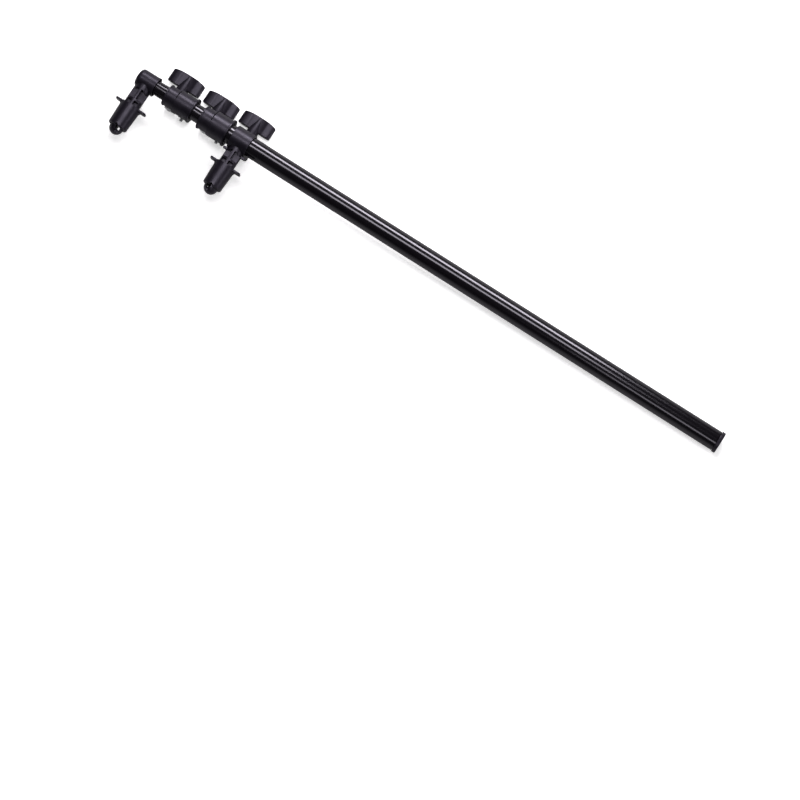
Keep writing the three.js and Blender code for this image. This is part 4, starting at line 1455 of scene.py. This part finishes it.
def slide_clip_shape(clip, ears, bolts, hook, tube):
    """The split ring on the main tube, its ears, lugs, nut pocket and stem."""
    hole = tube + SEAT_GAP
    radius = hole + clip.ring_wall
    half = clip.ring_length / 2
    ring = turned(eased([(-half, 0), (-half, radius), (half, radius), (half, 0)], EDGE), "X")
    ear_half = ears.slide_width / 2
    reach = ears.slide_reach
    pair = ear_pair(-ear_half, ear_half, reach, ears.slide_gap, ears.slide_corner, ears.root)
    lug_half, lug_rise = clip.lug_span / 2, clip.lug_thickness / 2
    lug_low, lug_high = clip.lug_height - lug_rise, clip.lug_height + lug_rise
    lug_corner = clip.lug_thickness * LUG_CORNER_SHARE
    lug_outline = panel(-lug_half, lug_half, lug_low, lug_high, lug_corner)
    lug = prism(lug_outline, "Z", -clip.lug_width / 2, clip.lug_width / 2, EDGE, EDGE)
    stem = stem_shape(clip, hook, -1, radius + SEAT_GAP)
    nut_end = reach - bolts.slide_nut_floor
    nut_half = bolts.nut_flats / 2 + SEAT_GAP
    nut_reach = corner_radius(bolts.nut_flats) + SEAT_GAP
    cuts = [
        bore("X", hole, -half, half, EDGE, EDGE, steps=ROUND_STEPS),
        slab(
            (-half - OVERRUN, -ears.slide_gap / 2, EAR_FRONT - OVERRUN),
            (half + OVERRUN, ears.slide_gap / 2, -hole / 2),
        ),
        slab(
            (-nut_half, nut_end - bolts.slide_nut - SEAT_GAP * 2, EAR_FRONT - OVERRUN),
            (nut_half, nut_end, BOLT_DEPTH + nut_reach),
        ),
        moved(bore("Y", bolts.bolt + SEAT_GAP, -reach, reach, EDGE, EDGE), 0, 0, BOLT_DEPTH),
        *ear_marks(
            [
                (x * (ear_half - ears.slide_mark_inset), y * (reach - ears.slide_mark_inset))
                for x in (-1, 1)
                for y in (-1, 1)
            ],
            ears.slide_mark,
            ears.mark_depth,
        ),
    ]
    return carved(ring, add=[*pair, lug, stem], cut=cuts)


class ARM_OT_clip_bodies(bpy.types.Operator):
    """Makes the bodies of the tip clip and the sliding clip."""

    bl_idname = "arm.clip_bodies"
    bl_label = "Clip bodies"

    def execute(self, context):
        scene = context.scene
        finish = plastic(scene.arm_finishes)
        clip, hook = scene.arm_clips, scene.arm_hooks
        low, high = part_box("tip_clip_body")
        half = (high.x - low.x) / 2
        ears, bolts = scene.arm_ears, scene.arm_fasteners
        shapes = {
            "tip_clip": tip_clip_shape(clip, hook, tube_radius("inner_tube"), half),
            "slide_clip": slide_clip_shape(clip, ears, bolts, hook, tube_radius("main_tube")),
        }
        for body, mesh in shapes.items():
            node = f"{body}_body"
            moulded(node, moved(mesh, middle(node).x), finish, body)
        return {"FINISHED"}


def sleeve_shape(sleeve, bottom):
    """A sleeve about Y, its tabs along X and its notches at +Z and -Z."""
    top = sleeve.top
    ledge_end = bottom - sleeve.mouth_depth
    ledge_top = ledge_end - sleeve.ledge
    outside = turned(
        eased(
            [
                (top, 0),
                (top, sleeve.top_radius),
                (bottom, sleeve.bottom_radius, sleeve.rounding),
                (bottom, 0),
            ],
            EDGE,
        ),
        "Y",
    )
    inside = turned(
        [
            (top - OVERRUN, sleeve.bore + EDGE),
            (top, sleeve.bore + EDGE),
            (top + EDGE, sleeve.bore),
            (ledge_top - sleeve.spring_room, sleeve.bore),
            (ledge_top - sleeve.spring_room, sleeve.spring_bore),
            (ledge_top, sleeve.spring_bore),
            (ledge_top, sleeve.ledge_hole),
            (ledge_end, sleeve.ledge_hole),
            (ledge_end, sleeve.mouth),
            (bottom - EDGE, sleeve.mouth),
            (bottom, sleeve.mouth + EDGE),
            (bottom + OVERRUN, sleeve.mouth + EDGE),
        ],
        "Y",
    )
    half, width = sleeve.tab_span / 2, sleeve.tab_width / 2
    foot = top + sleeve.tab_thickness
    tabs = prism(panel(-half, half, -width, width, sleeve.tab_corner), "Y", top, foot, EDGE, EDGE)
    reach = sleeve.top_radius + sleeve.tab_fillet
    rise = foot + sleeve.tab_fillet
    side = arc(reach, rise, sleeve.tab_fillet, -math.pi / 2, -math.pi)
    outline = [(reach, top + OVERRUN), *side]
    outline += [(-x, y) for x, y in reversed(outline)]
    fillet_half = width - sleeve.tab_corner
    fillets = prism(outline, "Z", -fillet_half, fillet_half, EDGE, EDGE)
    notch_radius = sleeve.notch / 2
    opening = panel(
        -notch_radius, notch_radius, bottom - sleeve.notch, bottom + sleeve.notch, notch_radius
    )
    across = sleeve.top_radius + OVERRUN
    notch = prism(opening, "Z", -across, across)
    return carved(outside, add=[tabs, fillets], cut=[inside, notch])


class ARM_OT_sleeves(bpy.types.Operator):
    """Makes the two spring sleeves."""

    bl_idname = "arm.sleeves"
    bl_label = "Sleeves"

    def execute(self, context):
        sizes = context.scene.arm_sleeves
        finish = plastic(context.scene.arm_finishes)
        for clip, row in CLIPS.items():
            node = f"{clip}_sleeve"
            mesh = moved(sleeve_shape(sizes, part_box(node)[1].y), middle(node).x)
            moulded(node, mesh, finish, row["sleeve_body"])
        return {"FINISHED"}


def hook_shape(hook, clip, sleeve, sleeve_end, end):
    """A hook about Y, its shank on the +X side and its foot at the end."""
    tip_top = sleeve_end - sleeve.mouth_depth + SEAT_GAP
    seat = end - hook.foot
    centre = end - hook.radius
    tip_inside = -hook.radius + hook.tip
    throat = tip_inside + hook.eye + hook.pocket_rib
    envelope = turned(
        [
            (centre - hook.radius, hook.radius),
            *arc(centre, 0, hook.radius, math.pi / 2, POLE_TURN, steps=CORNER_STEPS * 4),
            (end, 0),
        ],
        "Y",
    )
    section = eased(
        [
            (-hook.radius, tip_top),
            (tip_inside, tip_top),
            (tip_inside, seat),
            (throat, seat - hook.pocket_rib),
            (throat, tip_top),
            (hook.radius, tip_top),
            (hook.radius, end),
            (-hook.radius, end),
        ],
        EDGE,
        closed=True,
    )
    foot = carved(prism(section, "Z", -hook.radius, hook.radius), keep=[envelope])
    shank_start = clip.stem_end - clip.socket + SEAT_GAP
    profile = [(shank_start, 0), (shank_start, hook.shank), (seat, hook.shank), (seat, 0)]
    shank = moved(turned(eased(profile, EDGE), "Y", SMALL_ROUND_STEPS), hook.offset)
    pin = bore("Z", clip.pin + SEAT_GAP, -hook.radius, hook.radius)
    cuts = [moved(pin, hook.offset, clip.stem_end - clip.socket / 2)]
    low = seat + hook.pocket_rib
    for column in (0, 1):
        left = tip_inside + column * hook.pocket
        right = left + hook.pocket - hook.pocket_rib
        outline = panel(left, right, low, low + hook.pocket_height, EDGE)
        for face in (-1, 1):
            floor, outside = hook.radius - hook.pocket_depth, hook.radius + OVERRUN
            cuts.append(prism(outline, "Z", *sorted((face * floor, face * outside))))
    return carved(foot, add=[shank], cut=cuts)


class ARM_OT_hooks(bpy.types.Operator):
    """Makes the two hooks and refinishes their cross pins."""

    bl_idname = "arm.hooks"
    bl_label = "Hooks"

    def execute(self, context):
        scene = context.scene
        finish = plastic(scene.arm_finishes)
        for clip, row in CLIPS.items():
            node = f"{clip}_hook"
            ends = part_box(f"{clip}_sleeve")[1].y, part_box(node)[1].y
            mesh = hook_shape(scene.arm_hooks, scene.arm_clips, scene.arm_sleeves, *ends)
            if row["outward"] < 0:
                mirrored(mesh, "X")
            moved(mesh, middle(f"{clip}_sleeve").x)
            moulded(node, mesh, finish, clip)
            refinished(f"{clip}_hook_pin", zinc(scene.arm_finishes))
        return {"FINISHED"}


# Stage


def camera_axes(stage):
    """The directions towards the camera, to its right and to its top."""
    level = math.cos(stage.elevation)
    turn = stage.azimuth
    back = Vector((level * math.cos(turn), level * math.sin(turn), math.sin(stage.elevation)))
    right = Vector((0, 0, 1)).cross(back).normalized()
    top = back.cross(right)
    cos, sin = math.cos(stage.roll), math.sin(stage.roll)
    return back, right * cos + top * sin, top * cos - right * sin


def lamp(name, power, shade):
    """A long soft lamp that faces a point of the arm."""
    row = LAMPS[name]
    light = bpy.data.lights.new(f"{name}_lamp", "AREA")
    light.shape = "RECTANGLE"
    light.size, light.size_y = row["size"]
    light.energy = power
    light.color = shade
    thing = linked(light.name, light)
    thing.location = row["place"]
    thing.rotation_mode = "QUATERNION"
    facing = Vector(row["target"]) - Vector(row["place"])
    thing.rotation_quaternion = facing.to_track_quat("-Z", "Y")


def seen_rays(tree):
    """1 for rays from the camera, from gloss and through glass, and 0 for the rest."""
    path = tree.nodes.new("ShaderNodeLightPath").outputs
    first = worked_out(tree, "MAXIMUM", path["Is Camera Ray"], path["Is Glossy Ray"])
    return worked_out(tree, "MAXIMUM", first, path["Is Transmission Ray"])


class ARM_OT_stage(bpy.types.Operator):
    """Makes the floor, the lamps, the surroundings and the camera."""

    bl_idname = "arm.stage"
    bl_label = "Stage"

    def execute(self, context):
        stage = context.scene.arm_stage
        target = Vector((stage.target_x, stage.target_y, 0))
        back, right, top = camera_axes(stage)
        self.floor(stage, target)
        self.surroundings(stage)
        self.camera(stage, target, back, right, top)
        for name in LAMPS:
            lamp(name, getattr(stage, f"{name}_power"), stage.light)
        context.scene.view_settings.view_transform = "Standard"
        return {"FINISHED"}

    def floor(self, stage, target):
        """A plane that the butt cap and the sliding clip's ears rest on."""
        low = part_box("butt_cap")[0].z
        clip_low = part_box("slide_clip_body")[0]
        slope = (clip_low.z - low) / clip_low.x
        half = stage.floor_size / 2
        corners = []
        for x, y in ((-half, -half), (half, -half), (half, half), (-half, half)):
            corners.append((target.x + x, y, low + slope * (target.x + x)))
        mesh = bpy.data.meshes.new("floor")
        mesh.from_pydata(corners, [], [(0, 1, 2, 3)])
        material = bpy.data.materials.new("pale_floor")
        material.use_nodes = True
        tree = material.node_tree
        shader = tree.nodes["Principled BSDF"]
        shader.inputs["Roughness"].default_value = stage.floor_rough
        shader.inputs["Specular IOR Level"].default_value = stage.floor_shine
        shader.inputs["Base Color"].default_value = opaque(stage.floor)
        glow = node_in(
            tree, "ShaderNodeEmission", {"Color": (1, 1, 1, 1), "Strength": stage.floor_glow}
        )
        both = node_in(
            tree, "ShaderNodeAddShader", {0: shader.outputs["BSDF"], 1: glow.outputs["Emission"]}
        )
        path = tree.nodes.new("ShaderNodeLightPath").outputs
        hidden = worked_out(tree, "MULTIPLY", path["Is Glossy Ray"], 1 - stage.floor_gloss)
        black = node_in(tree, "ShaderNodeEmission", {"Strength": 0.0})
        dimmed = node_in(
            tree,
            "ShaderNodeMixShader",
            {0: hidden, 1: shader.outputs["BSDF"], 2: black.outputs["Emission"]},
        )
        choice = node_in(
            tree,
            "ShaderNodeMixShader",
            {0: path["Is Camera Ray"], 1: dimmed.outputs["Shader"], 2: both.outputs["Shader"]},
        )
        tree.links.new(
            choice.outputs["Shader"], tree.nodes["Material Output"].inputs["Surface"]
        )
        mesh.materials.append(material)
        linked("floor", mesh)

    def surroundings(self, stage):
        """White for the camera, dim from the horizon up for gloss, and plain soft light elsewhere."""
        world = bpy.data.worlds.new("surroundings")
        bpy.context.scene.world = world
        world.use_nodes = True
        tree = world.node_tree
        light = tree.nodes["Background"]
        light.inputs["Color"].default_value = (1, 1, 1, 1)
        light.inputs["Strength"].default_value = stage.ambient
        path = tree.nodes.new("ShaderNodeLightPath").outputs
        direction = tree.nodes.new("ShaderNodeTexCoord").outputs["Generated"]
        height = node_in(tree, "ShaderNodeSeparateXYZ", {"Vector": direction}).outputs["Z"]
        room = {"To Min": stage.horizon, "To Max": stage.ceiling}
        fall = smooth_rise(tree, height, 0, stage.ceiling_height, **room)
        seen = worked_out(tree, "MAXIMUM", fall, path["Is Camera Ray"])
        shown = node_in(tree, "ShaderNodeBackground", {"Color": (1, 1, 1, 1), "Strength": seen})
        choice = node_in(
            tree,
            "ShaderNodeMixShader",
            {0: seen_rays(tree), 1: light.outputs["Background"], 2: shown.outputs["Background"]},
        )
        tree.links.new(choice.outputs["Shader"], tree.nodes["World Output"].inputs["Surface"])

    def camera(self, stage, target, back, right, top):
        """The camera at the photograph's angle."""
        lens = bpy.data.cameras.new("camera")
        lens.sensor_width = 36
        lens.lens = stage.lens
        lens.clip_end = 100
        thing = linked("camera", lens)
        turn = Matrix((right, top, back)).transposed().to_4x4()
        thing.matrix_world = Matrix.Translation(target + back * stage.distance) @ turn
        bpy.context.scene.camera = thing


class ARM_PT_panel(bpy.types.Panel):
    """Lists the arm's operators in the sidebar."""

    bl_idname = "ARM_PT_panel"
    bl_label = "Holder Arm"
    bl_space_type = "VIEW_3D"
    bl_region_type = "UI"
    bl_category = "Holder Arm"

    def draw(self, context):
        for operator in OPERATORS:
            self.layout.operator(operator.bl_idname)


OPERATORS = (
    ARM_OT_tubes,
    ARM_OT_butt_cap,
    ARM_OT_collars,
    ARM_OT_fasteners,
    ARM_OT_knobs,
    ARM_OT_springs,
    ARM_OT_clip_bodies,
    ARM_OT_sleeves,
    ARM_OT_hooks,
    ARM_OT_stage,
)
CLASSES = (*GROUPS.values(), *OPERATORS, ARM_PT_panel)


def register():
    """Registers the classes and hangs their settings on the scene."""
    for item in CLASSES:
        bpy.utils.register_class(item)
    for name, group in GROUPS.items():
        setattr(bpy.types.Scene, name, bpy.props.PointerProperty(type=group))


def unregister():
    """Takes the settings and the classes away again."""
    for name in GROUPS:
        delattr(bpy.types.Scene, name)
    for item in reversed(CLASSES):
        bpy.utils.unregister_class(item)


def main():
    register()
    bpy.ops.arm.tubes()
    bpy.ops.arm.butt_cap()
    bpy.ops.arm.collars()
    bpy.ops.arm.fasteners()
    bpy.ops.arm.knobs()
    bpy.ops.arm.springs()
    bpy.ops.arm.clip_bodies()
    bpy.ops.arm.sleeves()
    bpy.ops.arm.hooks()
    bpy.ops.arm.stage()
    bpy.context.view_layer.update()


if __name__ == "__main__":
    main()
